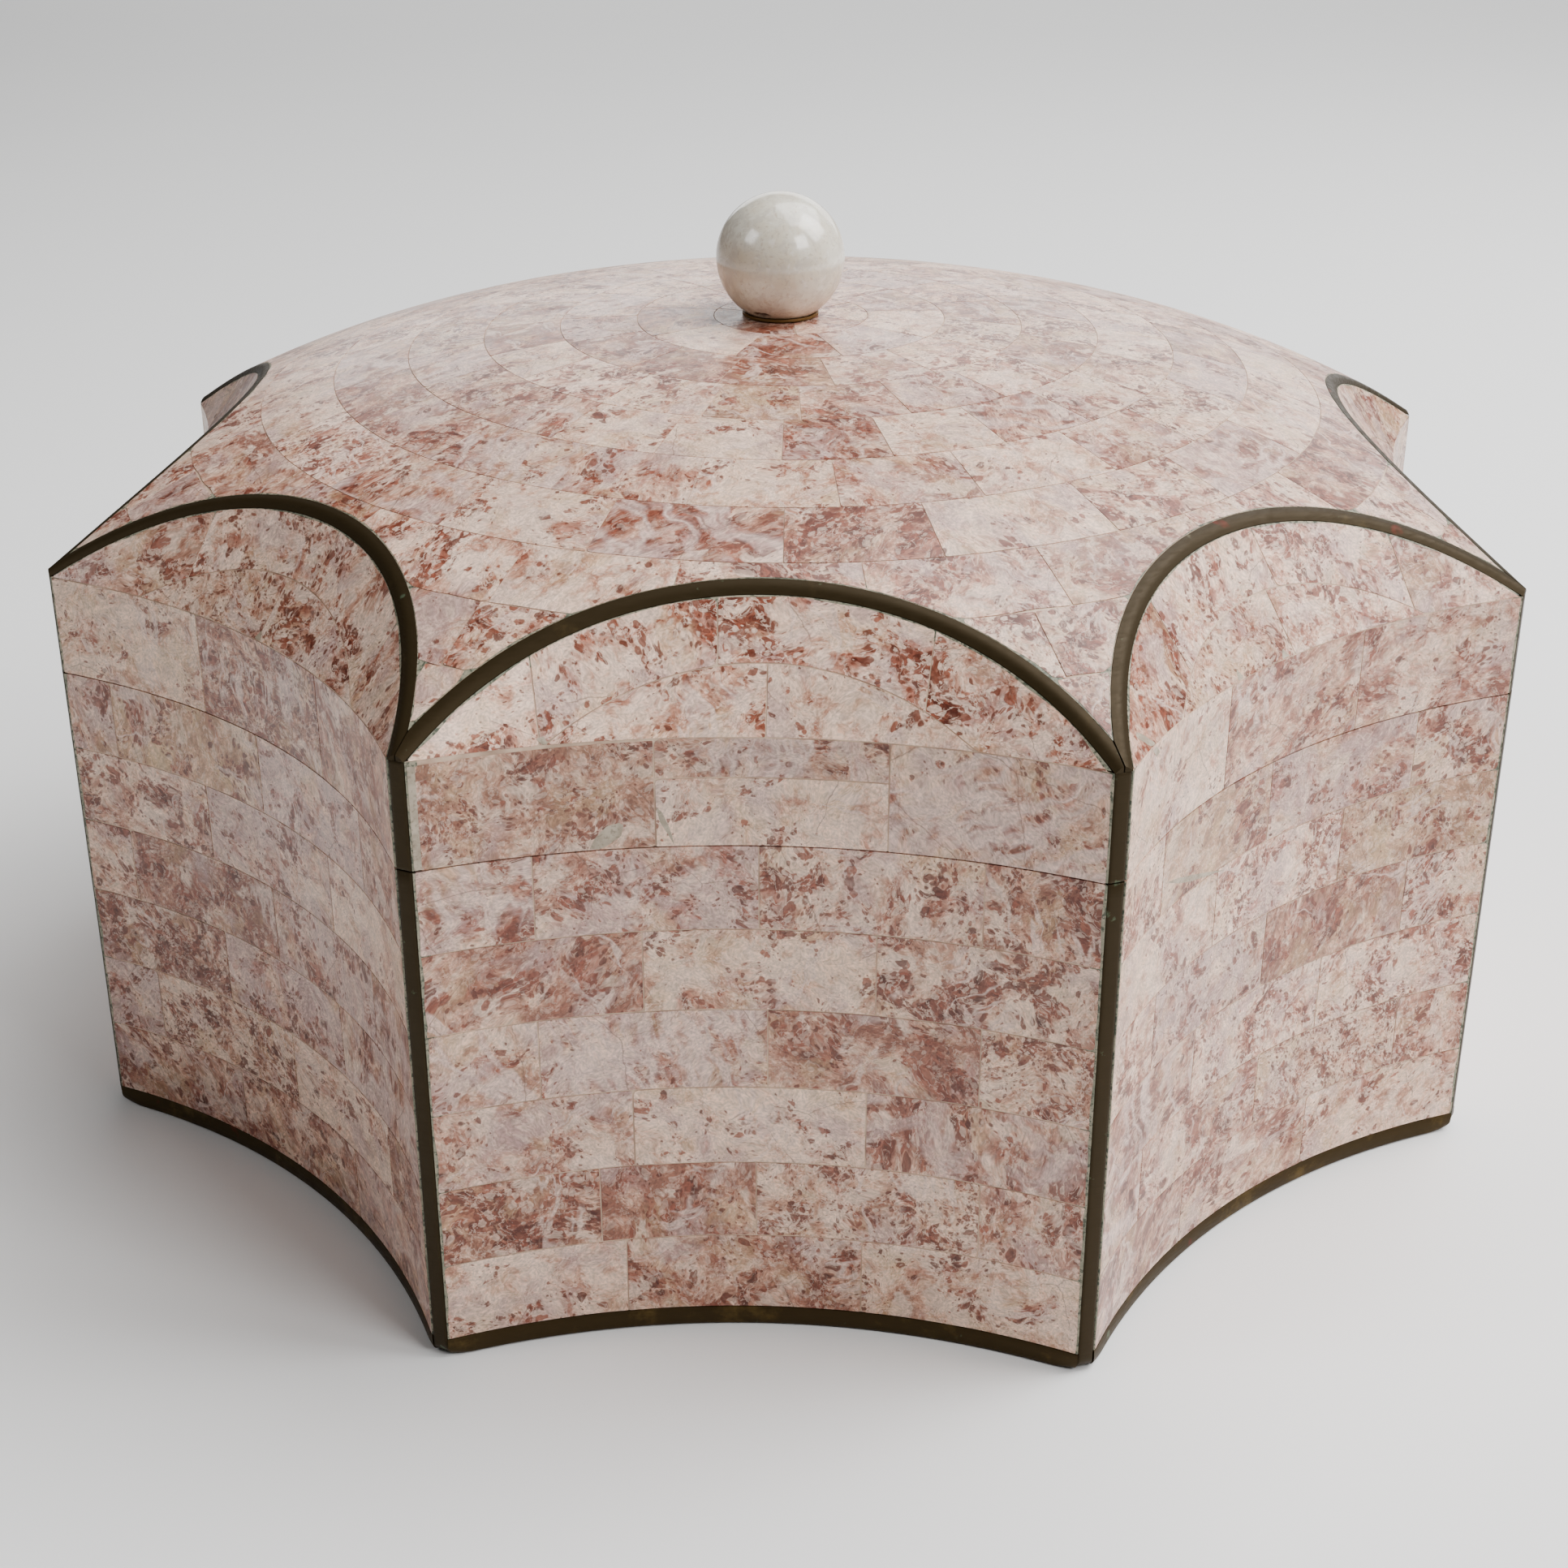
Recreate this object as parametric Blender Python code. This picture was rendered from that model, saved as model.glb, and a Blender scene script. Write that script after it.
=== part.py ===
"""Eight-pointed box of stone tiles and brass strips, with a domed lid and a ball finial.

Metres, +Z up. The box stands on z = 0, its axis is the Z axis and its front face looks along -Y.
"""
import math

import bmesh
import bpy
from mathutils import Vector

# Plan: a star whose faces are shallow hollows, arcs of circles that bow towards the axis
POINTS = 8
STAR_RADIUS = 0.182
FACE_HOLLOW = 0.0152
FACE_STEPS = 10

# Heights
SEAM_HEIGHT = 0.117
LID_WALL = 0.0236
DOME_RISE = 0.0439
DOME_POWER = 2.66
PANEL_TILT = math.radians(52.3)

# Shell: walls, floor and the lap joint that keeps the lid in place
WALL = 0.010
FLOOR = 0.010
DOME_SHELL = 0.010
LIP_THICKNESS = 0.004
LIP_HEIGHT = 0.005
LIP_PLAY = 0.0006

# Brass strips, let in flush with the stone
CORNER_WIDTH = 0.0038
CORNER_DEPTH = 0.0036
CORNER_ROUND = 0.0008
ARCH_WIDTH = 0.0038
ARCH_DEPTH = 0.0032
BAND_HEIGHT = 0.0046
BAND_DEPTH = 0.0030
BAND_EASE = 0.0006

# Finial, a little left of the axis
FINIAL_SHIFT = -0.0025
BALL_RADIUS = 0.0155
BALL_CUT = 0.0019
SEAT_HEIGHT = 0.0006
SEAT_LAND = 0.0003
ROUND_STEPS = 32

# Clearance between pieces that touch
GAP = 0.0003

# Rings of the lid's mesh, as shares of the way from the axis to the arch line
DOME_RINGS = (0.3, 0.5, 0.66, 0.8, 0.91)
INNER_RINGS = (0.75, 0.5)
PANEL_RINGS = (0.5,)

# Faces that turn by more than this meet at a sharp edge
SHARP_ANGLE = math.radians(25)

# Derived sizes
SECTOR = 2 * math.pi / POINTS
HALF = SECTOR / 2
CHORD_HALF = STAR_RADIUS * math.sin(HALF)
ARC_RADIUS = (CHORD_HALF ** 2 + FACE_HOLLOW ** 2) / (2 * FACE_HOLLOW)
ARC_CENTRE = STAR_RADIUS * math.cos(HALF) - FACE_HOLLOW + ARC_RADIUS
ARC_HALF = math.asin(CHORD_HALF / ARC_RADIUS)
POINT_HALF = math.pi / 2 - HALF - ARC_HALF
FLAT_RADIUS = STAR_RADIUS - CORNER_WIDTH / 2 / math.tan(POINT_HALF)
RIM_HEIGHT = SEAM_HEIGHT + LID_WALL
APEX_HEIGHT = RIM_HEIGHT + DOME_RISE
LID_BOTTOM = SEAM_HEIGHT + GAP
LIP_TOP = SEAM_HEIGHT + LIP_HEIGHT
REBATE_TOP = LIP_TOP + 2 * LIP_PLAY
PANEL_SET_IN = DOME_SHELL / math.sin(PANEL_TILT)
SEAT_BOTTOM = APEX_HEIGHT + GAP
BALL_CENTRE = SEAT_BOTTOM + BALL_RADIUS - BALL_CUT
OUTSIDE = 2 * STAR_RADIUS


def polar(radius, angle, height):
    """Point at an angle from the front, seen from above, positive to the right."""
    return Vector((radius * math.sin(angle), -radius * math.cos(angle), height))


def plan_radius(turn, inset=0.0):
    """Distance from the axis to a face, set in by inset, at an angle from the face's middle."""
    reach = ARC_RADIUS + inset
    return ARC_CENTRE * math.cos(turn) - math.sqrt(reach ** 2 - (ARC_CENTRE * math.sin(turn)) ** 2)


def face_turns():
    """Angles from a face's middle that divide its arc into equal steps."""
    turns = []
    for step in range(FACE_STEPS + 1):
        along = ARC_HALF * (2 * step / FACE_STEPS - 1)
        turns.append(math.atan2(ARC_RADIUS * math.sin(along), ARC_CENTRE - ARC_RADIUS * math.cos(along)))
    return turns


TURNS = face_turns()


def dome_height(radius):
    """The dome is flat at the axis and falls ever faster to the star's points."""
    return APEX_HEIGHT - DOME_RISE * (radius / STAR_RADIUS) ** DOME_POWER


def panel_height(radius, turn, set_in=0.0):
    """An arch panel leans inward from the top of its wall, square to the wall's arc all along."""
    reach = math.hypot(radius * math.sin(turn), ARC_CENTRE - radius * math.cos(turn))
    return RIM_HEIGHT + math.tan(PANEL_TILT) * (reach - ARC_RADIUS - set_in)


def crest_radius(turn, inset=0.0, shell=0.0, set_in=0.0):
    """Where dome and panel meet, at an angle from the face's middle, by halving."""
    low = 0.0
    high = plan_radius(turn, inset)
    for _ in range(60):
        middle = (low + high) / 2
        if dome_height(middle) - shell > panel_height(middle, turn, set_in):
            high = middle
        else:
            low = middle
    return (low + high) / 2


def ring(section):
    """Closed ring of points round the axis: section gives radius and height at a turn."""
    points = []
    for face in range(POINTS):
        for turn in TURNS[:-1]:
            radius, height = section(turn)
            points.append(polar(radius, face * SECTOR + turn, height))
    return points


def level_ring(inset, height):
    """Star outline set in by inset, at one height."""
    return ring(lambda turn: (plan_radius(turn, inset), height))


def centre_ring(height):
    """All points on the axis, where a skin starts or ends."""
    return ring(lambda turn: (0.0, height))


def dome_ring(share):
    """Ring on the dome, at a share of the way out to the arch line."""
    def section(turn):
        radius = share * crest_radius(turn)
        return radius, dome_height(radius)
    return ring(section)


def panel_ring(share):
    """Ring on the arch panels, at a share of the way from the arch line to the wall."""
    def section(turn):
        crest = crest_radius(turn)
        radius = crest + share * (plan_radius(turn) - crest)
        return radius, panel_height(radius, turn)
    return ring(section)


def inner_ring(share):
    """Ring on the lid's inner dome, at a share of the way out to its fold."""
    def section(turn):
        radius = share * crest_radius(turn, WALL, DOME_SHELL, PANEL_SET_IN)
        return radius, dome_height(radius) - DOME_SHELL
    return ring(section)


def inner_wall_ring():
    """Top of the lid's inner wall, where the inner side of the panels starts."""
    def section(turn):
        radius = plan_radius(turn, WALL)
        return radius, panel_height(radius, turn, PANEL_SET_IN)
    return ring(section)


def new_collection(name):
    """Collection of the scene."""
    collection = bpy.data.collections.new(name)
    bpy.context.scene.collection.children.link(collection)
    return collection


def cutter_group(name):
    """Collection for cutters that cut in one pass, among the cutters."""
    group = bpy.data.collections.new(name)
    cutters.children.link(group)
    return group


def material(name, colour, roughness, metallic):
    """Principled material of one colour."""
    made = bpy.data.materials.new(name)
    made.use_nodes = True
    shader = made.node_tree.nodes["Principled BSDF"]
    shader.inputs["Base Color"].default_value = (*colour, 1.0)
    shader.inputs["Roughness"].default_value = roughness
    shader.inputs["Metallic"].default_value = metallic
    made.diffuse_color = (*colour, 1.0)
    return made


def mesh_from(shape, name):
    """Mesh from a bmesh, with faces out and doubles joined."""
    bmesh.ops.remove_doubles(shape, verts=shape.verts, dist=1e-6)
    bmesh.ops.recalc_face_normals(shape, faces=shape.faces)
    mesh = bpy.data.meshes.new(name)
    shape.to_mesh(mesh)
    shape.free()
    return mesh


def place(name, mesh, finish, angle=0.0):
    """Object of the box, turned about the axis and shaded smooth except at its edges."""
    mesh.shade_smooth()
    mesh.set_sharp_from_angle(angle=SHARP_ANGLE)
    made = bpy.data.objects.new(name, mesh)
    made.rotation_euler.z = angle
    if not mesh.materials:
        mesh.materials.append(finish)
    box.objects.link(made)
    return made


def cutter(name, mesh, angle=0.0, group=None):
    """Object that only cuts or trims others, by itself or as one of a group."""
    made = bpy.data.objects.new(name, mesh)
    made.rotation_euler.z = angle
    made.hide_render = True
    made.display_type = "WIRE"
    (group or cutters).objects.link(made)
    return made


def trim(target, tool):
    """Exact Boolean that keeps what the tool and the target share."""
    step = target.modifiers.new(tool.name, "BOOLEAN")
    step.operation = "INTERSECT"
    step.solver = "EXACT"
    step.object = tool


def groove(target, group):
    """Exact Boolean that cuts a whole group away in one pass, because its cutters may meet."""
    step = target.modifiers.new(group.name, "BOOLEAN")
    step.operation = "DIFFERENCE"
    step.solver = "EXACT"
    step.operand_type = "COLLECTION"
    step.collection = group


def finished(target, name):
    """Mesh of an object with its modifiers applied; the object itself goes."""
    graph = bpy.context.evaluated_depsgraph_get()
    mesh = bpy.data.meshes.new_from_object(target.evaluated_get(graph))
    mesh.name = name
    bpy.data.objects.remove(target)
    return mesh


def skin(name, rings):
    """Closed skin through rings that start and end on the axis."""
    shape = bmesh.new()
    rows = [[shape.verts.new(point) for point in points] for points in rings]
    for upper, lower in zip(rows, rows[1:]):
        for here in range(len(upper)):
            after = (here + 1) % len(upper)
            shape.faces.new((upper[here], lower[here], lower[after], upper[after]))
    return mesh_from(shape, name)


def loft(name, sections):
    """Closed solid through outlines with the same number of points, flat at both ends."""
    shape = bmesh.new()
    rows = [[shape.verts.new(point) for point in points] for points in sections]
    for first, second in zip(rows, rows[1:]):
        for here in range(len(first)):
            after = (here + 1) % len(first)
            shape.faces.new((first[here], first[after], second[after], second[here]))
    shape.faces.new(list(reversed(rows[0])))
    shape.faces.new(rows[-1])
    return mesh_from(shape, name)


def lathe(name, profile):
    """Closed ring round the Z axis: profile is a closed outline of radii and heights."""
    shape = bmesh.new()
    turns = [2 * math.pi * step / ROUND_STEPS for step in range(ROUND_STEPS)]
    rows = [[shape.verts.new(polar(radius, turn, height)) for turn in turns] for radius, height in profile]
    for first, second in zip(rows, rows[1:] + rows[:1]):
        for here in range(ROUND_STEPS):
            after = (here + 1) % ROUND_STEPS
            shape.faces.new((first[here], second[here], second[after], first[after]))
    return mesh_from(shape, name)


def wedge(name, offset, low, high, reach):
    """Prism over one face: its sides are the upright planes through the face's two points, each moved in
    by offset, and it is cut off square to each point at a distance from the axis."""
    apex = Vector((0, -offset / math.sin(HALF)))
    side = Vector((math.sin(HALF), -math.cos(HALF)))
    inward = Vector((-math.cos(HALF), -math.sin(HALF)))
    right = side * reach + inward * offset
    nose = Vector((0, -reach / math.cos(HALF)))
    left = Vector((-right.x, right.y))
    outline = (apex, right, nose, left)
    sections = [[(point.x, point.y, height) for point in outline] for height in (low, high)]
    return loft(name, sections)


def corner_bar(name, width, depth, reach, low, high, rounding=0.0):
    """Upright bar at a star point, in the frame of a point that looks along -Y."""
    shape = bmesh.new()
    bmesh.ops.create_cube(shape, size=1.0)
    inner = FLAT_RADIUS - depth
    outer = FLAT_RADIUS + reach
    for vert in shape.verts:
        vert.co.x *= width
        vert.co.y = -outer if vert.co.y < 0 else -inner
        vert.co.z = low if vert.co.z < 0 else high
    if rounding:
        upright = [edge for edge in shape.edges
                   if all(vert.co.y < -inner - depth / 2 for vert in edge.verts)
                   and abs(edge.verts[0].co.z - edge.verts[1].co.z) > rounding]
        bmesh.ops.bevel(shape, geom=upright, offset=rounding, segments=3, profile=0.5, affect="EDGES")
    return mesh_from(shape, name)


def arch_bar(name, half_width, depth, proud):
    """Bar along the arch line of the front face, square to the mean of dome and panel all along."""
    line = [polar(crest_radius(turn), turn, dome_height(crest_radius(turn))) for turn in TURNS]
    overrun = 3 * half_width
    line.insert(0, line[0] + (line[0] - line[1]).normalized() * overrun)
    line.append(line[-1] + (line[-1] - line[-2]).normalized() * overrun)
    sections = []
    for index, point in enumerate(line):
        before = line[max(index - 1, 0)]
        after = line[min(index + 1, len(line) - 1)]
        tangent = (after - before).normalized()
        radius = math.hypot(point.x, point.y)
        fall = DOME_RISE * DOME_POWER / STAR_RADIUS * (radius / STAR_RADIUS) ** (DOME_POWER - 1)
        dome_normal = Vector((point.x / radius * fall, point.y / radius * fall, 1)).normalized()
        lean = Vector((-point.x, -ARC_CENTRE - point.y, 0)).normalized() * math.tan(PANEL_TILT)
        panel_normal = Vector((lean.x, lean.y, 1)).normalized()
        side = tangent.cross(dome_normal + panel_normal).normalized()
        up = side.cross(tangent)
        sections.append([point + side * half_width + up * proud, point - side * half_width + up * proud,
                         point - side * half_width - up * depth, point + side * half_width - up * depth])
    return loft(name, sections)


def band_bar(name):
    """Brass band along the front face's bottom edge, from point to point, its outer edge eased below."""
    outer = ((BAND_EASE, 0.0), (0.0, BAND_EASE), (0.0, BAND_HEIGHT))
    inner = ((BAND_DEPTH, BAND_HEIGHT), (BAND_DEPTH, 0.0))
    sections = []
    for turn in TURNS:
        sections.append([polar(plan_radius(turn, inset), turn, height) for inset, height in outer + inner])
    return loft(name, sections)


def make_base(stone):
    """Hollow body: underside, rebate for the bands, wall, lip for the lid, cavity and floor."""
    rebate = BAND_DEPTH + GAP
    lip = WALL - LIP_THICKNESS
    rings = [
        centre_ring(0.0),
        level_ring(rebate, 0.0),
        level_ring(rebate, BAND_HEIGHT + GAP),
        level_ring(0.0, BAND_HEIGHT + GAP),
        level_ring(0.0, SEAM_HEIGHT),
        level_ring(lip, SEAM_HEIGHT),
        level_ring(lip, LIP_TOP),
        level_ring(WALL, LIP_TOP),
        level_ring(WALL, FLOOR),
        centre_ring(FLOOR),
    ]
    base = cutter("base_form", skin("base_form", rings))
    grooves = cutter_group("base_grooves")
    corner = corner_bar("base_corner_groove", CORNER_WIDTH + 2 * GAP, CORNER_DEPTH + GAP, WALL,
                        -WALL, SEAM_HEIGHT + WALL)
    for point in range(POINTS):
        cutter(f"base_corner_groove_{point + 1}", corner, (point + 0.5) * SECTOR, grooves)
    groove(base, grooves)
    place("base_body", finished(base, "base_body"), stone)


def lid_outside():
    """Rings of the lid's outer form, from the top of the dome to the bottom of the wall."""
    rings = [centre_ring(APEX_HEIGHT)]
    rings += [dome_ring(share) for share in DOME_RINGS + (1.0,)]
    rings += [panel_ring(share) for share in PANEL_RINGS + (1.0,)]
    rings.append(level_ring(0.0, LID_BOTTOM))
    return rings


def make_lid(stone):
    """Hollow lid: dome and panels, wall, rebate over the base's lip, and the same form inside."""
    rebate = WALL - LIP_THICKNESS - LIP_PLAY
    rings = lid_outside()
    rings += [
        level_ring(rebate, LID_BOTTOM),
        level_ring(rebate, REBATE_TOP),
        level_ring(WALL, REBATE_TOP),
        inner_wall_ring(),
        inner_ring(1.0),
    ]
    rings += [inner_ring(share) for share in INNER_RINGS]
    rings.append(centre_ring(APEX_HEIGHT - DOME_SHELL))
    lid = cutter("lid_form", skin("lid_form", rings))
    grooves = cutter_group("lid_grooves")
    corner = corner_bar("lid_corner_groove", CORNER_WIDTH + 2 * GAP, CORNER_DEPTH + GAP, WALL,
                        SEAM_HEIGHT - WALL, RIM_HEIGHT + CORNER_DEPTH / 2)
    arch = cutter("arch_groove", arch_bar("arch_groove", ARCH_WIDTH / 2 + GAP, ARCH_DEPTH + GAP, WALL))
    ends = cutter("arch_groove_ends",
                  wedge("arch_groove_ends", -CORNER_WIDTH, RIM_HEIGHT + GAP, OUTSIDE, OUTSIDE))
    trim(arch, ends)
    arch = finished(arch, "arch_groove")
    for point in range(POINTS):
        cutter(f"lid_corner_groove_{point + 1}", corner, (point + 0.5) * SECTOR, grooves)
    for face in range(POINTS):
        cutter(f"arch_groove_{face + 1}", arch, face * SECTOR, grooves)
    groove(lid, grooves)
    place("lid_body", finished(lid, "lid_body"), stone)


def make_arches(brass):
    """Arch strips, flush with the lid, mitred at each point and cut off flush with the corner strip."""
    outside = lid_outside() + [centre_ring(LID_BOTTOM)]
    blank = cutter("lid_outside", skin("lid_outside", outside))
    ends = cutter("arch_ends", wedge("arch_ends", GAP / 2, RIM_HEIGHT + 2 * GAP, OUTSIDE, FLAT_RADIUS))
    strip = cutter("arch_strip", arch_bar("arch_strip", ARCH_WIDTH / 2, ARCH_DEPTH, WALL))
    trim(strip, blank)
    trim(strip, ends)
    mesh = finished(strip, "arch_strip")
    for face in range(POINTS):
        place(f"arch_strip_{face + 1}", mesh, brass, face * SECTOR)


def make_bands(brass):
    """Bands along the bottom, butted against the corner strips."""
    ends = cutter("band_ends", wedge("band_ends", CORNER_WIDTH / 2 + GAP, -WALL, SEAM_HEIGHT, OUTSIDE))
    band = cutter("base_band", band_bar("base_band"))
    trim(band, ends)
    mesh = finished(band, "base_band")
    for face in range(POINTS):
        place(f"base_band_{face + 1}", mesh, brass, face * SECTOR)


def make_corners(brass):
    """Upright strips at the points, in the base and in the lid."""
    size = (CORNER_WIDTH, CORNER_DEPTH, 0.0)
    base = corner_bar("base_corner_strip", *size, 0.0, SEAM_HEIGHT, CORNER_ROUND)
    lid = corner_bar("lid_corner_strip", *size, LID_BOTTOM, RIM_HEIGHT, CORNER_ROUND)
    for point in range(POINTS):
        angle = (point + 0.5) * SECTOR
        place(f"base_corner_strip_{point + 1}", base, brass, angle)
        place(f"lid_corner_strip_{point + 1}", lid, brass, angle)


def beside_ball(height):
    """Radius that is clear of the ball at a height."""
    return math.sqrt((BALL_RADIUS + GAP) ** 2 - (BALL_CENTRE - height) ** 2)


def make_finial(brass, pale):
    """Stone ball with a flat spot on the dome, and a low brass ring that follows it round its foot."""
    seat_top = SEAT_BOTTOM + SEAT_HEIGHT
    outer = beside_ball(seat_top) + SEAT_LAND
    profile = ((beside_ball(SEAT_BOTTOM), SEAT_BOTTOM), (outer, SEAT_BOTTOM),
               (outer, seat_top), (beside_ball(seat_top), seat_top))
    seat = place("finial_seat", lathe("finial_seat", profile), brass)
    seat.location.x = FINIAL_SHIFT

    shape = bmesh.new()
    bmesh.ops.create_uvsphere(shape, u_segments=ROUND_STEPS, v_segments=ROUND_STEPS // 2, radius=BALL_RADIUS)
    parts = shape.verts[:] + shape.edges[:] + shape.faces[:]
    below = {"plane_co": (0, 0, BALL_CUT - BALL_RADIUS), "plane_no": (0, 0, -1), "clear_outer": True}
    bmesh.ops.bisect_plane(shape, geom=parts, **below)
    rim = [edge for edge in shape.edges if edge.is_boundary]
    bmesh.ops.contextual_create(shape, geom=rim)
    ball = place("ball_finial", mesh_from(shape, "ball_finial"), pale)
    ball.location = (FINIAL_SHIFT, 0, BALL_CENTRE)


for old in list(bpy.data.objects):
    bpy.data.objects.remove(old)
box = new_collection("stone_lidded_box")
cutters = new_collection("cutters")
pink_stone = material("pink_stone", (0.62, 0.40, 0.34), 0.35, 0.0)
pale_stone = material("pale_stone", (0.66, 0.60, 0.52), 0.25, 0.0)
dark_brass = material("dark_brass", (0.09, 0.07, 0.04), 0.45, 1.0)
make_base(pink_stone)
make_lid(pink_stone)
make_arches(dark_brass)
make_bands(dark_brass)
make_corners(dark_brass)
make_finial(dark_brass, pale_stone)
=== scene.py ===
"""Looks of the stone lidded box: tiles, joints, brass strips and ball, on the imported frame.

Metres, +Z up. The front face looks along -Y, and faces count from the front towards the right.
"""
import math
import random

import bmesh
import bpy
import numpy as np
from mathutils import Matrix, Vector, geometry, noise


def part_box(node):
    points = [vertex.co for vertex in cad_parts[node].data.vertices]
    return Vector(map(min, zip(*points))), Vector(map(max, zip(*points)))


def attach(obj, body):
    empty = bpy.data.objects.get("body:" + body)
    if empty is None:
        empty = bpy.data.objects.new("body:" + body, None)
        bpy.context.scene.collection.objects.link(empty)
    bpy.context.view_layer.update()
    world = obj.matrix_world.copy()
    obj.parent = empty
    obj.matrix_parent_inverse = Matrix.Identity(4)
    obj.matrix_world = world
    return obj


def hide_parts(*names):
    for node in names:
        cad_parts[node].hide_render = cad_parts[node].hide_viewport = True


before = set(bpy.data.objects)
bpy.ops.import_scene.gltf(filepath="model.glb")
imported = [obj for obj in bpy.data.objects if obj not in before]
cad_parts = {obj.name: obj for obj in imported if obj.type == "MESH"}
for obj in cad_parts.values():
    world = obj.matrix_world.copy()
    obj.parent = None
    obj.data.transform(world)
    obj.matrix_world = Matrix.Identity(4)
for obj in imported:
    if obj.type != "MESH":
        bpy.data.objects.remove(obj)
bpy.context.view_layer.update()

# Plan and dome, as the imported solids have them
POINTS = 8
STAR_RADIUS = 0.182
FACE_HOLLOW = 0.0152
DOME_POWER = 2.66
PANEL_TILT = math.radians(52.3)
WALL = 0.010
FLOOR = 0.010
DOME_SHELL = 0.010
LIP_THICKNESS = 0.004
LIP_HEIGHT = 0.005
LIP_PLAY = 0.0006
CORNER_WIDTH = 0.0038
CORNER_DEPTH = 0.0036
ARCH_WIDTH = 0.0038
ARCH_DEPTH = 0.0032
BAND_DEPTH = 0.0030
GAP = 0.0003

# Heights and the ball, from the frame
SEAM_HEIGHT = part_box("base_corner_strip_1")[1].z
LID_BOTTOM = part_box("lid_corner_strip_1")[0].z
RIM_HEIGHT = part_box("lid_corner_strip_1")[1].z
APEX_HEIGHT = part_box("lid_body")[1].z
BAND_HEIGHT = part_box("base_band_1")[1].z
BALL_LOW, BALL_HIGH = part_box("ball_finial")
BALL_RADIUS = (BALL_HIGH.x - BALL_LOW.x) / 2
BALL_MIDDLE = BALL_HIGH.z - BALL_RADIUS

# Tiles: CELL is the size of their triangles, ROW_SHARE sets the rows of points inside a tile, and EDGE_SHARE
# how far these stay from its edge. LEAST_HEIGHT keeps a tile's long sides apart, and a tile that would be
# smaller than the other least sizes is left out.
CELL = 0.0026
ROW_SHARE = 0.87
EDGE_SHARE = 0.45
JOINT = 0.00030
DOME_JOINT = 0.00020
SLAB = 0.0016
BED = 0.00012
LEAST_AREA = 2e-7
LEAST_HEIGHT = 0.00005
LEAST_DOME_HEIGHT = 0.0008
LEAST_DOME_WIDTH = 0.0015
WALL_ROWS = 6
BASE_SEED = 11
LID_SEED = 23
STONE_SHARP = math.radians(40)
BRASS_SHARP = math.radians(50)

# Tile edges: how much they wobble and have worn beside brass, and the chips at their corners. CHIP_SHARE is
# the most that a chip takes of the shorter side beside it, and CHIP_BULGE how far its middle keeps to the
# corner.
WOBBLE = 0.00006
WOBBLE_SCALE = 160
BRASS_WEAR = 0.0007
WEAR_SCALE = 0.7
WEAR_LIFT = 0.15
CHIPS = (0.00012, 0.0003)
BIG_CHIPS = (0.0005, 0.0012)
BIG_CHIP_CHANCE = 0.18
CHIP_SHARE = 0.4
CHIP_BULGE = 1.2

# Front wall of the lid: the wedge-shaped joint at its left, and the slip above its middle tile
WEDGE = 0.0009
SETBACK = 0.0013
SLIP_HEIGHT = 0.0146

# Lens of two tiles over the rim of a panel
LENS_PEAK = 0.0150
LENS_HALF = 0.042
LENS_END = LENS_HALF * 0.985

# How far a tile's joints, looks and grain stray from the plan: in millimetres on the walls, in metres on
# the panels, and as a share of a tile's width on the dome
WALL_STRAY = 3
LENS_STRAY = 0.003
PANEL_STRAY = 0.004
DOME_STRAY = 0.07
LOOK_STRAY = 0.06
STRETCH_STRAY = (0.85, 1.2)

# Filler beside the brass and in patches, a hair proud of the tiles
FILLER_WIDTH = 0.0022
FILLER_DEPTH = 0.00005
FILLER_THICK = 0.0006
PATCH_PROUD = 0.00003

# Core beside the arch strips: how far inside the rim the two sides of their groove stay at the points, and
# the least width of panel that counts
OVER_END = 0.006
UNDER_END = 0.003
SHELF = 0.0003

# Brass: rounded edges and feet, its soft wave, and the play between pieces
RIDGE_SHARE = 0.55
BAND_ROUND = 0.0007
BAND_EASE = 0.0001
FOOT_ROUND = 0.0026
FOOT_REACH = 0.0060
CORNER_ROUND = 0.0008
CORNER_FOOT = 0.0034
CORNER_EASE = 0.00015
CORNER_WAVE = 0.00003
CORNER_WAVES = (90, 60, 9)
SEAT_ROUND = 0.0002
HAIR = GAP / 6

# Pit of the ball: where it is and which way it is long, how uneven its rim is, and how dark it gets
PIT_PLACE = (-0.263, -0.577, -0.772)
PIT_LEAN = (0.9, -0.3, 0.1)
PIT_LENGTH = 0.0022
PIT_WIDTH = 0.0010
PIT_DEPTH = 0.0007
PIT_RAGGED = 0.5
PIT_RAGGED_SCALE = 14.0
PIT_DARKENING = 2.5
BALL_LUMPS = 0.00004
BALL_LUMP_SCALE = 3.0

# Steps along curves
ARCH_STEPS = 90
BAND_STEPS = 60
BAND_SAMPLES = 361
CORE_STEPS = 36
DOME_STEPS = 14
CEILING_STEPS = 8
FILLER_STEPS = 24
STRIP_STEPS = 40
SEAT_STEPS = 96
PANEL_SAMPLES = 60
DOME_SAMPLES = 80
DOME_TILE_SAMPLES = 40
HALVINGS = 50

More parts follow.
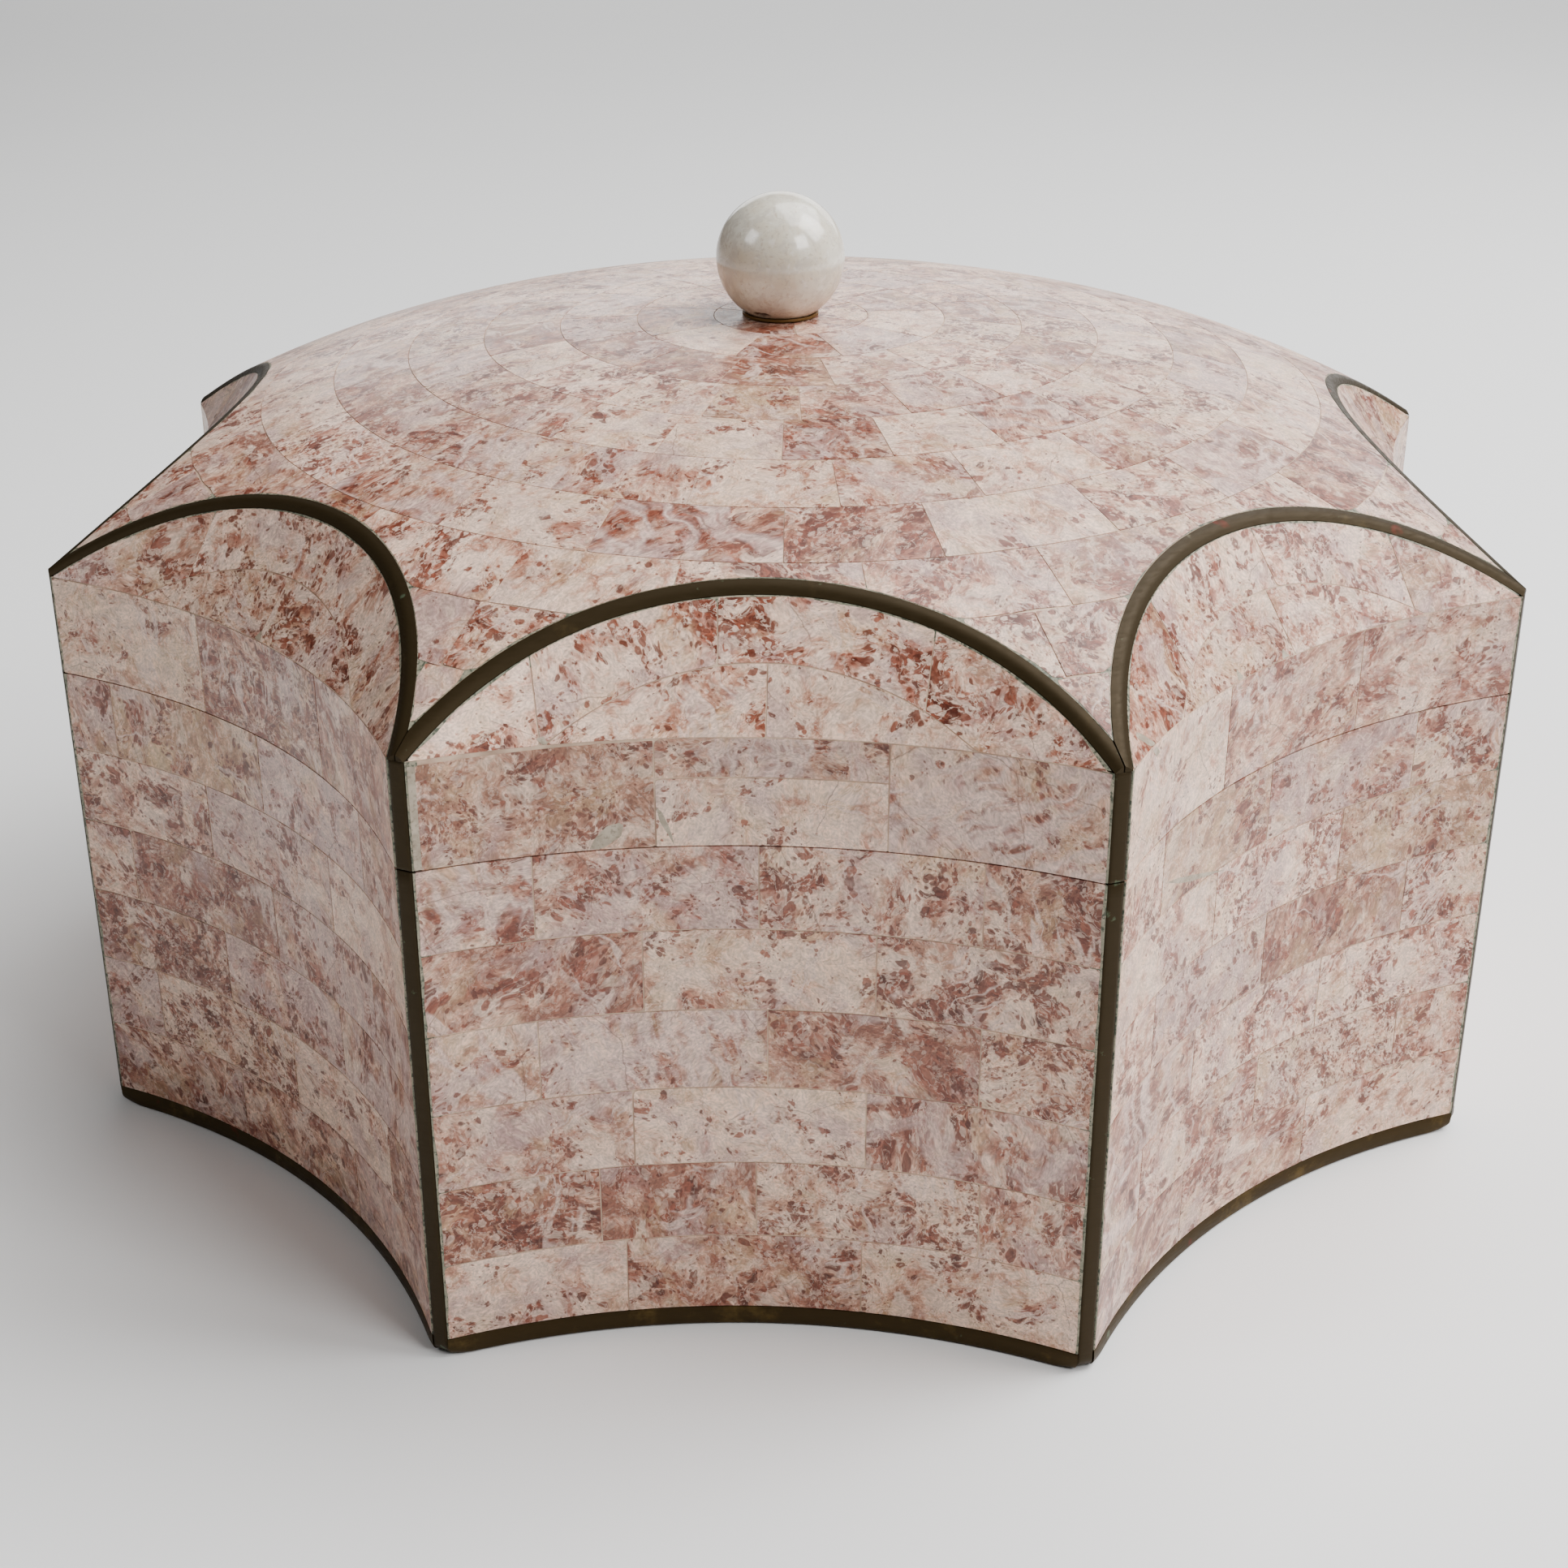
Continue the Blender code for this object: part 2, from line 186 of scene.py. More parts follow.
# Derived sizes
SECTOR = 2 * math.pi / POINTS
HALF = SECTOR / 2
CHORD_HALF = STAR_RADIUS * math.sin(HALF)
ARC_RADIUS = (CHORD_HALF ** 2 + FACE_HOLLOW ** 2) / (2 * FACE_HOLLOW)
ARC_CENTRE = STAR_RADIUS * math.cos(HALF) - FACE_HOLLOW + ARC_RADIUS
ARC_HALF = math.asin(CHORD_HALF / ARC_RADIUS)
POINT_HALF = math.pi / 2 - HALF - ARC_HALF
FLAT_RADIUS = STAR_RADIUS - CORNER_WIDTH / 2 / math.tan(POINT_HALF)
DOME_RISE = APEX_HEIGHT - RIM_HEIGHT
GROOVE_HALF = CORNER_WIDTH / 2 + GAP / 2
GROOVE_FLOOR = FLAT_RADIUS - CORNER_DEPTH - GAP
ARCH_GROOVE = ARCH_DEPTH + GAP
LIP_TOP = SEAM_HEIGHT + LIP_HEIGHT
REBATE_TOP = LIP_TOP + 2 * LIP_PLAY
MILLIMETRE = 0.001
QUARTER = [math.radians(15) * step for step in range(7)]

# Material slots of the stone pieces
TILE, GROUT, LINING, VERDIGRIS, FILLER = range(5)

# Looks of a tile, from 0 to 1 in the order of LOOKS, and last the stretch of its grain
LOOKS = ("cream", "rust", "lilac", "flecks", "lace", "veins", "tan", "shade")
KINDS = {
    "light": (0.90, 0.22, 0.25, 0.30, 0.75, 0.20, 0.15, 0.60, 1.15),
    "bright": (0.76, 0.52, 0.25, 0.50, 0.90, 0.30, 0.05, 0.74, 1.1),
    "cream": (0.85, 0.30, 0.10, 0.40, 0.80, 0.30, 0.35, 0.58, 1.1),
    "flecked": (0.72, 0.52, 0.10, 0.90, 0.85, 0.10, 0.30, 0.52, 1.0),
    "blotched": (0.78, 0.78, 0.25, 0.35, 0.70, 0.20, 0.15, 0.55, 1.1),
    "mottled": (0.55, 0.55, 0.15, 0.75, 0.70, 0.20, 0.25, 0.50, 1.1),
    "fine": (0.45, 0.30, 0.10, 0.85, 0.60, 0.15, 0.30, 0.42, 1.0),
    "pink": (0.50, 0.45, 0.25, 0.40, 0.60, 0.30, 0.05, 0.52, 1.2),
    "rose": (0.25, 0.60, 0.20, 0.40, 0.45, 0.25, 0.15, 0.47, 1.25),
    "rust": (0.32, 0.82, 0.10, 0.70, 0.60, 0.20, 0.25, 0.46, 1.15),
    "tan": (0.45, 0.48, 0.10, 0.55, 0.60, 0.20, 0.80, 0.46, 1.2),
    "lilac": (0.58, 0.40, 0.75, 0.45, 0.60, 0.35, 0.05, 0.50, 1.2),
    "veined": (0.60, 0.45, 0.40, 0.45, 0.60, 0.90, 0.25, 0.50, 1.2),
    "streaked": (0.38, 0.68, 0.25, 0.35, 0.60, 0.75, 0.10, 0.48, 1.6),
    "salmon": (0.22, 0.66, 0.05, 0.25, 0.45, 0.85, 0.10, 0.50, 1.7),
}
COMMON_KINDS = ("light", "cream", "flecked", "flecked", "mottled", "mottled", "blotched", "pink", "pink",
                "rose", "rust", "tan", "lilac", "veined", "streaked")

# Wall joints in millimetres from a face's middle, rows from the top down, and what is between them
EVEN_JOINTS = (-26, 21)
ODD_JOINTS = (-50, -4, 43)
WALL_LAYOUTS = {
    0: [
        ((-45.5, -0.6, 44.5), ("streaked", "lilac", "blotched", "rust")),
        ((-24.2, 23.1), ("rose", "cream", "blotched")),
        ((-46.0, 1.0, 45.0), ("veined", "veined", "rose", "flecked")),
        ((-27.1, 21.5), ("pink", "light", "streaked")),
        ((-34.6, -1.6, 46.0), ("rust", "rose", "flecked", "pink")),
        ((-29.5, 21.0), ("light", "pink", "cream")),
    ],
    1: [
        ((-46.0, -2.0, 44.0), ("bright", "tan", "lilac", "blotched")),
        ((-20.0, 24.2), ("light", "bright", "tan")),
        ((-45.0, 1.0, 46.0), ("bright", "lilac", "rose", "blotched")),
        ((-24.0, 22.0), ("streaked", "bright", "bright")),
        ((-46.0, 3.0, 48.5), ("streaked", "pink", "flecked", "pink")),
        ((-24.0, 22.0), ("streaked", "pink", "cream")),
    ],
    7: [
        ((-55.5, -6.2, 41.0), ("lilac", "tan", "lilac", "pink")),
        ((-27.5, 21.0), ("blotched", "lilac", "light")),
        ((-55.0, -6.0, 41.0), ("blotched", "rose", "lilac", "streaked")),
        ((-26.8, 20.0), ("rust", "lilac", "streaked")),
        ((-52.0, -4.0, 43.0), ("lilac", "flecked", "light", "rust")),
        ((-26.3, 21.0), ("pink", "pink", "streaked")),
    ],
}
LID_WALL_LAYOUTS = {
    0: ((-20.9, 25.0), ("fine", "light", "veined")),
    1: ((-20.6, 24.7), ("light", "pink", "pink")),
    7: ((-24.4, 22.5), ("cream", "rust", "pink")),
}

# Panel joints in metres from a face's middle, and kinds: two of the lens first, then those above it. The
# panels take mostly bright and light kinds, partly as painted light: this makes the panels, which tilt up
# towards the lamps, lighter than the walls.
SIDE_PANEL = ((-0.031, 0.006, 0.040), ("flecked", "bright", "pink", "bright", "bright", "pink"))
PANEL_JOINTS = (-0.0428, -0.0084, 0.031)
PANEL_LAYOUTS = {
    0: (PANEL_JOINTS, ("bright", "light", "bright", "bright", "bright", "bright")),
    1: SIDE_PANEL,
    7: SIDE_PANEL,
}

# Patches of grey filler: face, and corners as lengths from its middle and heights, in millimetres
WALL_PATCHES = (
    (0, ((-34.0, 117.6), (-32.0, 117.4), (-30.2, 118.2), (-27.7, 120.0), (-27.2, 122.3), (-28.0, 122.9),
         (-30.5, 122.3), (-32.9, 119.8))),
    (0, ((-17.3, 117.5), (-17.8, 120.1), (-18.4, 121.9), (-19.6, 124.9), (-20.7, 125.9), (-20.0, 122.6),
         (-18.6, 120.1))),
    (0, ((-68.5, 117.5), (-67.0, 117.5), (-67.0, 139.6), (-68.5, 139.6))),
    (1, ((-54.6, 137.6), (-52.9, 138.0), (-55.2, 140.3), (-56.9, 139.8))),
    (1, ((-44.1, 105.3), (-38.0, 102.5), (-31.0, 100.1), (-24.0, 98.4), (-17.7, 97.2), (-24.0, 99.3),
         (-31.0, 101.5), (-38.0, 103.8))),
)
PANEL_PATCHES = (
    (0, ((-43.4, 141.8), (-42.3, 140.8), (-41.2, 140.8), (-41.8, 142.1))),
    (1, ((-60.5, 143.7), (-57.6, 140.8), (-55.4, 140.8), (-57.8, 143.2), (-59.4, 144.2))),
    (1, ((-18.2, 140.8), (-15.8, 140.8), (-17.0, 142.6))),
    (1, ((-2.0, 140.8), (0.4, 140.8), (-0.8, 142.4))),
    (7, ((-3.0, 140.8), (-0.6, 140.8), (-1.8, 142.6))),
)

# Dome rings: outer radius in millimetres, number of tiles, and where the first joint is in degrees
DOME_RINGS = (
    (18.7, 6, 10.0),
    (37.3, 9, -20.0),
    (55.9, 14, 11.0),
    (74.3, 19, 5.0),
    (92.5, 23, 0.0),
    (110.4, 22, -9.0),
    (127.9, 22, 0.5),
    (144.8, 22, -7.0),
    (161.0, 16, 22.5),
    (185.0, 8, 0.0),
)
DOME_COMMON = ("light", "bright", "light", "bright", "flecked", "pink", "pink", "rose", "lilac", "veined",
               "streaked", "blotched", "mottled")
DOME_KINDS = {
    (0, 5): "rose", (0, 0): "pink", (1, 0): "rose", (1, 8): "light", (1, 1): "lilac", (2, 13): "rose",
    (2, 0): "pink", (2, 12): "rose", (3, 18): "tan", (3, 17): "cream", (3, 0): "pink", (4, 22): "light",
    (4, 0): "rose", (4, 1): "light", (4, 21): "light", (5, 0): "cream", (5, 1): "pink", (5, 2): "light",
    (5, 21): "lilac", (6, 20): "light", (6, 21): "salmon", (6, 0): "rust", (6, 1): "light",
    (6, 2): "blotched",
}


def rows(*columns):
    """Rows of numbers from their columns; a single number fills its column."""
    return np.stack(np.broadcast_arrays(*columns), axis=1)


def unit(arrows):
    """Arrows of length one."""
    return arrows / np.linalg.norm(arrows, axis=1)[:, None]


def reach_of(points):
    """Distances of points from the axis."""
    return np.hypot(points[:, 0], points[:, 1])


def turn_of(points):
    """Angles of points about the axis, from the front face's middle."""
    return np.arctan2(points[:, 0], -points[:, 1])


def between(marks, steps, line):
    """Points at marks along a line whose own points are at steps."""
    return np.column_stack([np.interp(marks, steps, column) for column in line.T])


def turned(points, angle):
    """Points of the front face, turned about the axis."""
    cosine = math.cos(angle)
    sine = math.sin(angle)
    plan = points[:, :2] @ np.array(((cosine, sine), (-sine, cosine)))
    return np.column_stack((plan, points[:, 2]))


def all_round(points):
    """Points of the front face, turned to each face in turn."""
    return np.concatenate([turned(points, face * SECTOR) for face in range(POINTS)])


def wall_end(half, inset=0.0):
    """Angle along the arc of a face, set in, where it is half a strip's width from the point's middle."""
    return math.asin((ARC_CENTRE * math.sin(HALF) - half) / (ARC_RADIUS + inset)) - HALF


FACE_END = ARC_RADIUS * wall_end(CORNER_WIDTH / 2 + GAP)


def dome_height(radius):
    """The dome is flat at the axis and falls ever faster to the star's points."""
    return APEX_HEIGHT - DOME_RISE * (radius / STAR_RADIUS) ** DOME_POWER


def dome_normals(points):
    """Outward normals of the dome."""
    radius = np.maximum(reach_of(points), 1e-6)
    fall = DOME_RISE * DOME_POWER / STAR_RADIUS * (radius / STAR_RADIUS) ** (DOME_POWER - 1)
    return unit(rows(*(points[:, :2] * (fall / radius)[:, None]).T, 1.0))


def on_wall(flat, depth=0.0):
    """Places on the front wall: flat holds lengths along the arc and heights."""
    along = flat[:, 0] / ARC_RADIUS
    reach = ARC_RADIUS + depth
    return rows(reach * np.sin(along), reach * np.cos(along) - ARC_CENTRE, flat[:, 1])


def on_panel(flat, depth=0.0):
    """Places on the front panel: flat holds lengths along the rim and slant distances above it."""
    along = flat[:, 0] / ARC_RADIUS
    reach = ARC_RADIUS + flat[:, 1] * math.cos(PANEL_TILT) + depth * math.sin(PANEL_TILT)
    height = RIM_HEIGHT + flat[:, 1] * math.sin(PANEL_TILT) - depth * math.cos(PANEL_TILT)
    return rows(reach * np.sin(along), reach * np.cos(along) - ARC_CENTRE, height)


def on_dome(flat, depth=0.0):
    """Places on the dome: flat holds the plan."""
    points = np.column_stack((flat, dome_height(reach_of(flat))))
    return points - dome_normals(points) * depth


def on_face(place, face):
    """Places on the front face's wall, panel or dome, turned to another face."""
    return lambda flat, depth: turned(place(flat, depth), face * SECTOR)


class ArchLine:
    """The line where dome and panel meet, with the directions that its strip and its neighbours need."""

    def __init__(self, steps=181, longest=0.06):
        self.along = np.linspace(-ARC_HALF, ARC_HALF, steps)
        self.points = self.crest(longest)
        tangents = unit(np.gradient(self.points, axis=0))
        lean = rows(-np.sin(self.along) * math.sin(PANEL_TILT), -np.cos(self.along) * math.sin(PANEL_TILT),
                    math.cos(PANEL_TILT))
        domeward = dome_normals(self.points)
        self.to_dome = np.cross(domeward, tangents)
        self.to_panel = np.cross(tangents, lean)
        self.up = unit(domeward + lean)

    def crest(self, longest):
        """Points of the line, by halving the slant of the panel, which is at most the longest."""
        low = np.zeros(len(self.along))
        high = np.full(len(self.along), longest)
        for _ in range(HALVINGS):
            middle = (low + high) / 2
            points = on_panel(rows(self.along * ARC_RADIUS, middle))
            above = dome_height(reach_of(points)) > points[:, 2]
            low = np.where(above, middle, low)
            high = np.where(above, high, middle)
        return on_panel(rows(self.along * ARC_RADIUS, low))

    def dome_edge(self, width):
        """Line on the dome, a width away from the arch line."""
        points = self.points + self.to_dome * width
        points[:, 2] = dome_height(reach_of(points))
        return points

    def panel_edge(self, width):
        """Line on the panel, a width away from the arch line, as lengths along the rim and slants."""
        points = self.points + self.to_panel * width
        along = np.arctan2(points[:, 0], points[:, 1] + ARC_CENTRE)
        slant = (points[:, 2] - RIM_HEIGHT) / math.sin(PANEL_TILT)
        return along * ARC_RADIUS, slant


arch = ArchLine()


class Gathered:
    """Arrays of one mesh, gathered slab by slab, and the luck of its tiles."""

    def __init__(self, seed=0):
        self.luck = random.Random(seed)
        self.points = []
        self.faces = []
        self.slots = []
        self.grain = []
        self.tint = []
        self.marks = []
        self.count = 0

    def add(self, points, faces, slot=TILE, grain=None, tint=(0, 0, 0, 0), marks=(0, 0, 0, 0)):
        """Adds points and faces in one material slot, with one look."""
        self.points.append(points)
        self.faces += [tuple(index + self.count for index in face) for face in faces]
        self.slots += [slot] * len(faces)
        self.grain.append(points if grain is None else grain)
        self.tint.append(np.tile(tint, (len(points), 1)))
        self.marks.append(np.tile(marks, (len(points), 1)))
        self.count += len(points)

    def piece(self, name, materials, slot, nodes, sharp=STONE_SHARP):
        """The object, riding on the body in place of its solids."""
        mesh = bpy.data.meshes.new(name)
        mesh.from_pydata(np.concatenate(self.points).tolist(), [], self.faces)
        for material in materials:
            mesh.materials.append(material)
        mesh.polygons.foreach_set("material_index", self.slots)
        for label, kind, key, values in (("grain", "FLOAT_VECTOR", "vector", self.grain),
                                         ("tint", "FLOAT_COLOR", "color", self.tint),
                                         ("marks", "FLOAT_COLOR", "color", self.marks)):
            layer = mesh.attributes.new(label, kind, "POINT")
            layer.data.foreach_set(key, np.concatenate(values).astype(np.float32).ravel())
        mesh.shade_smooth()
        mesh.set_sharp_from_angle(angle=sharp)
        return dress(bpy.data.objects.new(name, mesh), nodes)


def dress(piece, nodes):
    """Links a piece, lets it ride on the body and stand for its solids."""
    bpy.context.scene.collection.objects.link(piece)
    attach(piece, "root")
    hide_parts(*nodes)
    return piece


def mesh_of(shape, name, material):
    """Mesh of a shape, in one material."""
    mesh = bpy.data.meshes.new(name)
    shape.to_mesh(mesh)
    shape.free()
    mesh.materials.append(material)
    return mesh


def reshape(piece, work):
    """Lets work change the mesh of a piece."""
    shape = bmesh.new()
    shape.from_mesh(piece.data)
    work(shape)
    shape.to_mesh(piece.data)
    shape.free()


def join_axis(shape):
    """Joins the doubles of a shape's skins on the axis and drops what has no area."""
    near_axis = [vert for vert in shape.verts if math.hypot(vert.co.x, vert.co.y) < 1e-6]
    bmesh.ops.remove_doubles(shape, verts=near_axis, dist=1e-6)
    bmesh.ops.dissolve_degenerate(shape, edges=shape.edges, dist=1e-7)


def join_doubles(shape):
    """Joins the doubles of a shape and turns its faces outwards."""
    bmesh.ops.remove_doubles(shape, verts=shape.verts, dist=1e-6)
    face_outwards(shape)


def face_outwards(shape):
    """Turns the faces of a shape outwards."""
    bmesh.ops.recalc_face_normals(shape, faces=shape.faces)


def even_steps(side, step):
    """A side in even steps, without its last point."""
    side = np.asarray(side, float)
    lengths = np.hypot(*np.diff(side, axis=0).T)
    walked = np.concatenate(((0,), np.cumsum(lengths)))
    count = max(1, round(walked[-1] / step))
    return between(np.linspace(0, walked[-1], count + 1)[:-1], walked, side)


def inside(points, outline):
    """Which points are inside a closed outline, and how far each is from it."""
    start = outline
    end = np.roll(outline, -1, axis=0)
    across = points[:, None, :]
    rising = (start[None, :, 1] > across[..., 1]) != (end[None, :, 1] > across[..., 1])
    height = end[:, 1] - start[:, 1]
    height = np.where(np.abs(height) < 1e-12, 1e-12, height)
    meet = start[:, 0] + (across[..., 1] - start[:, 1]) * (end[:, 0] - start[:, 0]) / height
    within = (rising & (across[..., 0] < meet)).sum(axis=1) % 2 == 1
    edge = end - start
    share = ((across - start) * edge).sum(axis=2) / np.maximum((edge ** 2).sum(axis=1), 1e-12)
    nearest = start + np.clip(share, 0, 1)[..., None] * edge
    away = np.linalg.norm(across - nearest, axis=2).min(axis=1)
    return within, away


def worn_side(points, wear, luck):
    """A side in even steps, a little wobbly, and receded by about its wear."""
    steps = even_steps(points, CELL)
    seed = luck.uniform(0, 100)
    ahead = np.roll(steps, -1, axis=0)
    ahead[-1] = np.asarray(points)[-1]
    run = ahead - steps
    inward = rows(-run[:, 1], run[:, 0])
    inward /= np.maximum(np.linalg.norm(inward, axis=1), 1e-9)[:, None]
    for index in range(len(steps)):
        spot = Vector((steps[index, 0] * WOBBLE_SCALE, steps[index, 1] * WOBBLE_SCALE, seed))
        worn = wear * max(0.0, noise.noise(spot * WEAR_SCALE) + WEAR_LIFT)
        steps[index] += inward[index] * (WOBBLE * noise.noise(spot) + worn)
    return steps


def worn_outline(sides, luck):
    """Closed outline of a tile, wobbly, with small chips at its corners and a nick now and then.

    A side is its points and how much its edge has receded.
    """
    worn = [worn_side(points, wear, luck) for points, wear in sides]
    outline = []
    for number, steps in enumerate(worn):
        corner = steps[0]
        after = steps[1] if len(steps) > 1 else worn[(number + 1) % len(worn)][0]
        back = worn[number - 1][-1] - corner
        forth = after - corner
        shortest = min(np.linalg.norm(back), np.linalg.norm(forth))
        chip = luck.uniform(*CHIPS)
        if luck.random() < BIG_CHIP_CHANCE:
            chip = luck.uniform(*BIG_CHIPS)
        chip = min(chip, shortest * CHIP_SHARE)
        if shortest > 1e-5:
            start = corner + back / np.linalg.norm(back) * chip
            end = corner + forth / np.linalg.norm(forth) * chip
            outline += [start, (start + end + corner * CHIP_BULGE) / (2 + CHIP_BULGE), end]
        else:
            outline.append(corner)
        outline += list(steps[1:])
    return np.array(outline)


def area_of(outline):
    """Signed area of a closed outline."""
    after = np.roll(outline, -1, axis=0)
    return (outline[:, 0] * after[:, 1] - outline[:, 1] * after[:, 0]).sum() / 2


def filled(outline):
    """Points and triangles that fill a closed outline, with rows of points inside it."""
    low = outline.min(axis=0)
    high = outline.max(axis=0)
    heights = np.arange(low[1] + CELL / 2, high[1], CELL * ROW_SHARE)
    grid = [(x, y) for number, y in enumerate(heights)
            for x in np.arange(low[0] + (0.25 + 0.5 * (number % 2)) * CELL, high[0], CELL)]
    flat = outline
    if grid:
        grid = np.array(grid)
        within, away = inside(grid, outline)
        flat = np.concatenate((outline, grid[within & (away > CELL * EDGE_SHARE)]))
    count = len(outline)
    loop = [(index, (index + 1) % count) for index in range(count)]
    scaled = [Vector(point) for point in (flat / MILLIMETRE).tolist()]
    # Output type 1 gives only the triangles inside the loop
    made = geometry.delaunay_2d_cdt(scaled, loop, [], 1, 1e-5)
    return np.array([tuple(point) for point in made[0]]) * MILLIMETRE, [tuple(face) for face in made[2]]


def look_of(kind, luck):
    """Tint, marks and grain stretch of a tile of a kind, each a little different."""
    *looks, stretch = KINDS[kind]
    values = [min(1.0, max(0.0, value + luck.gauss(0, LOOK_STRAY))) for value in looks]
    return values[:4], values[4:], stretch * luck.uniform(*STRETCH_STRAY)


def add_tile(target, sides, place, kind, slot=TILE):
    """Closed slab of one tile, flush with the outer form, with a grain of its own."""
    luck = target.luck
    flat = np.concatenate([np.asarray(points, float)[:-1] for points, _ in sides])
    if area_of(flat) < 0:
        sides = [(np.asarray(points)[::-1], wear) for points, wear in reversed(sides)]
    outline = worn_outline(sides, luck)
    if abs(area_of(outline)) < LEAST_AREA:
        return
    flat, top = filled(outline)
    total = len(flat)
    bottom = [tuple(reversed([index + total for index in face])) for face in top]
    runs = [(face[index - 1], face[index]) for face in top for index in range(len(face))]
    inner = set(runs)
    rim = [(first, second) for first, second in runs if (second, first) not in inner]
    edge = [(first, first + total, second + total, second) for first, second in rim]
    points = np.concatenate([place(flat, depth) for depth in (0.0, SLAB)])
    tint, marks, stretch = look_of(kind, luck)
    lean = luck.uniform(0, math.pi)
    local = (flat - flat.mean(axis=0)) @ np.array(((math.cos(lean), -math.sin(lean)),
                                                   (math.sin(lean), math.cos(lean))))
    local[:, 0] /= stretch
    offset = np.array([luck.uniform(-5, 5) for _ in range(3)])
    grain = np.concatenate([rows(*local.T, depth) + offset for depth in (0.0, SLAB)])
    target.add(points, top + bottom + edge, slot, grain, tint, marks)


def bounded_tile(target, low, high, start, end, place, kind, wears=(0, 0, 0, 0), to_flat=None,
                 samples=25):
    """Tile between two lines over a stretch: low and high give the second value for the first."""
    across = np.linspace(start, end, samples)
    bottom = rows(across, [low(value) for value in across])
    top = rows(across, [high(value) for value in across])
    top[:, 1] = np.maximum(top[:, 1], bottom[:, 1] + LEAST_HEIGHT)
    sides = [bottom, np.array((bottom[-1], top[-1])), top[::-1], np.array((top[0], bottom[0]))]
    if to_flat:
        sides = [to_flat(side) for side in sides]
    add_tile(target, list(zip(sides, wears)), place, kind)


def level(height):
    """Line at one height."""
    return lambda _: height


def loose_row(joints, luck):
    """Joints and kinds of a row that the photo doesn't show."""
    joints = [joint + luck.uniform(-WALL_STRAY, WALL_STRAY) for joint in joints]
    return joints, [luck.choice(COMMON_KINDS) for _ in range(len(joints) + 1)]


def row_tiles(joints, kinds):
    """Kind, start, end and edge wear of each tile of a row between two corner strips."""
    ends = [-FACE_END] + [joint * MILLIMETRE for joint in joints] + [FACE_END]
    for index, kind in enumerate(kinds):
        wears = (0, BRASS_WEAR if index == len(kinds) - 1 else 0, 0, 0 if index else BRASS_WEAR)
        yield kind, ends[index] + JOINT / 2, ends[index + 1] - JOINT / 2, wears


def wall_tiles(target, face):
    """Six rows of tiles in running bond on one face of the base."""
    place = on_face(on_wall, face)
    row_height = (SEAM_HEIGHT - BAND_HEIGHT - GAP) / WALL_ROWS
    for row in range(WALL_ROWS):
        high = SEAM_HEIGHT - row * row_height
        low = high - row_height
        top = level(high - (JOINT / 2 if row else 0.0))
        bottom = level(low + (JOINT / 2 if row < WALL_ROWS - 1 else 0.0))
        if face in WALL_LAYOUTS:
            layout = WALL_LAYOUTS[face][row]
        else:
            layout = loose_row(EVEN_JOINTS if row % 2 else ODD_JOINTS, target.luck)
        for kind, start, end, wears in row_tiles(*layout):
            bounded_tile(target, bottom, top, start, end, place, kind, wears, samples=3)


def lid_wall_tiles(target, face):
    """One row of tiles on the lid's wall, one of them with a thin slip above it at the front."""
    layout = LID_WALL_LAYOUTS[face] if face in LID_WALL_LAYOUTS else loose_row(EVEN_JOINTS, target.luck)
    place = on_face(on_wall, face)
    foot = level(LID_BOTTOM)
    top = RIM_HEIGHT - JOINT / 2
    slip = LID_BOTTOM + SLIP_HEIGHT
    for index, (kind, start, end, wears) in enumerate(row_tiles(*layout)):
        if face == 0 and index == 0:
            bounded_tile(target, foot, lambda value: top + WEDGE * value / FACE_END, start + SETBACK, end,
                         place, kind, wears)
        elif face == 0 and index == 1:
            bounded_tile(target, foot, level(slip), start, end, place, kind)
            bounded_tile(target, level(slip + JOINT), level(top), start, end, place, "veined")
        else:
            bounded_tile(target, foot, level(top), start, end, place, kind, wears)


def panel_tiles(target, face):
    """Lens-shaped row of two tiles over the rim, and tiles between it and the arch strip."""
    luck = target.luck
    along, slant = arch.panel_edge(ARCH_WIDTH / 2 + GAP)
    shift = 0.0 if face == 0 else luck.uniform(-PANEL_STRAY, PANEL_STRAY)
    middle = shift + luck.uniform(-LENS_STRAY, LENS_STRAY)
    kinds = [luck.choice(COMMON_KINDS) for _ in range(6)]
    if face in PANEL_LAYOUTS:
        joints, kinds = PANEL_LAYOUTS[face]
    else:
        joints = [joint + luck.uniform(-PANEL_STRAY, PANEL_STRAY) for joint in PANEL_JOINTS]

    def lens(value):
        return LENS_PEAK * (1 - ((value - shift) / LENS_HALF) ** 2)

    def above(value):
        return max(JOINT / 2, lens(value) + JOINT / 2)

    def below(value):
        return lens(value) - JOINT / 2

    def limit(value):
        return float(np.interp(value, along, slant))

    place = on_face(on_panel, face)
    foot = level(JOINT / 2)
    bounded_tile(target, foot, below, shift - LENS_END, middle - JOINT / 2, place, kinds[0])
    bounded_tile(target, foot, below, middle + JOINT / 2, shift + LENS_END, place, kinds[1])
    rising = len(slant) // 2
    reach = float(np.interp(JOINT, slant[:rising], along[:rising]))
    ends = [reach, *joints, -reach]
    for start, end, kind in zip(ends, ends[1:], kinds[2:]):
        bounded_tile(target, above, limit, start + JOINT / 2, end - JOINT / 2, place, kind,
                     (0, 0, BRASS_WEAR, 0), samples=PANEL_SAMPLES)


def dome_limit(width):
    """How far out the dome reaches at a width from the arch line, by the angle from a face's middle."""
    edge = arch.dome_edge(width)
    order = np.argsort(turn_of(edge))
    return turn_of(edge)[order], reach_of(edge)[order]


def runs_of(samples, free):
    """First and last sample of each run of free ones."""
    runs = []
    for index, sample in enumerate(samples):
        if free[index] and (index == 0 or not free[index - 1]):
            runs.append([sample, sample])
        if free[index]:
            runs[-1][1] = sample
    return runs


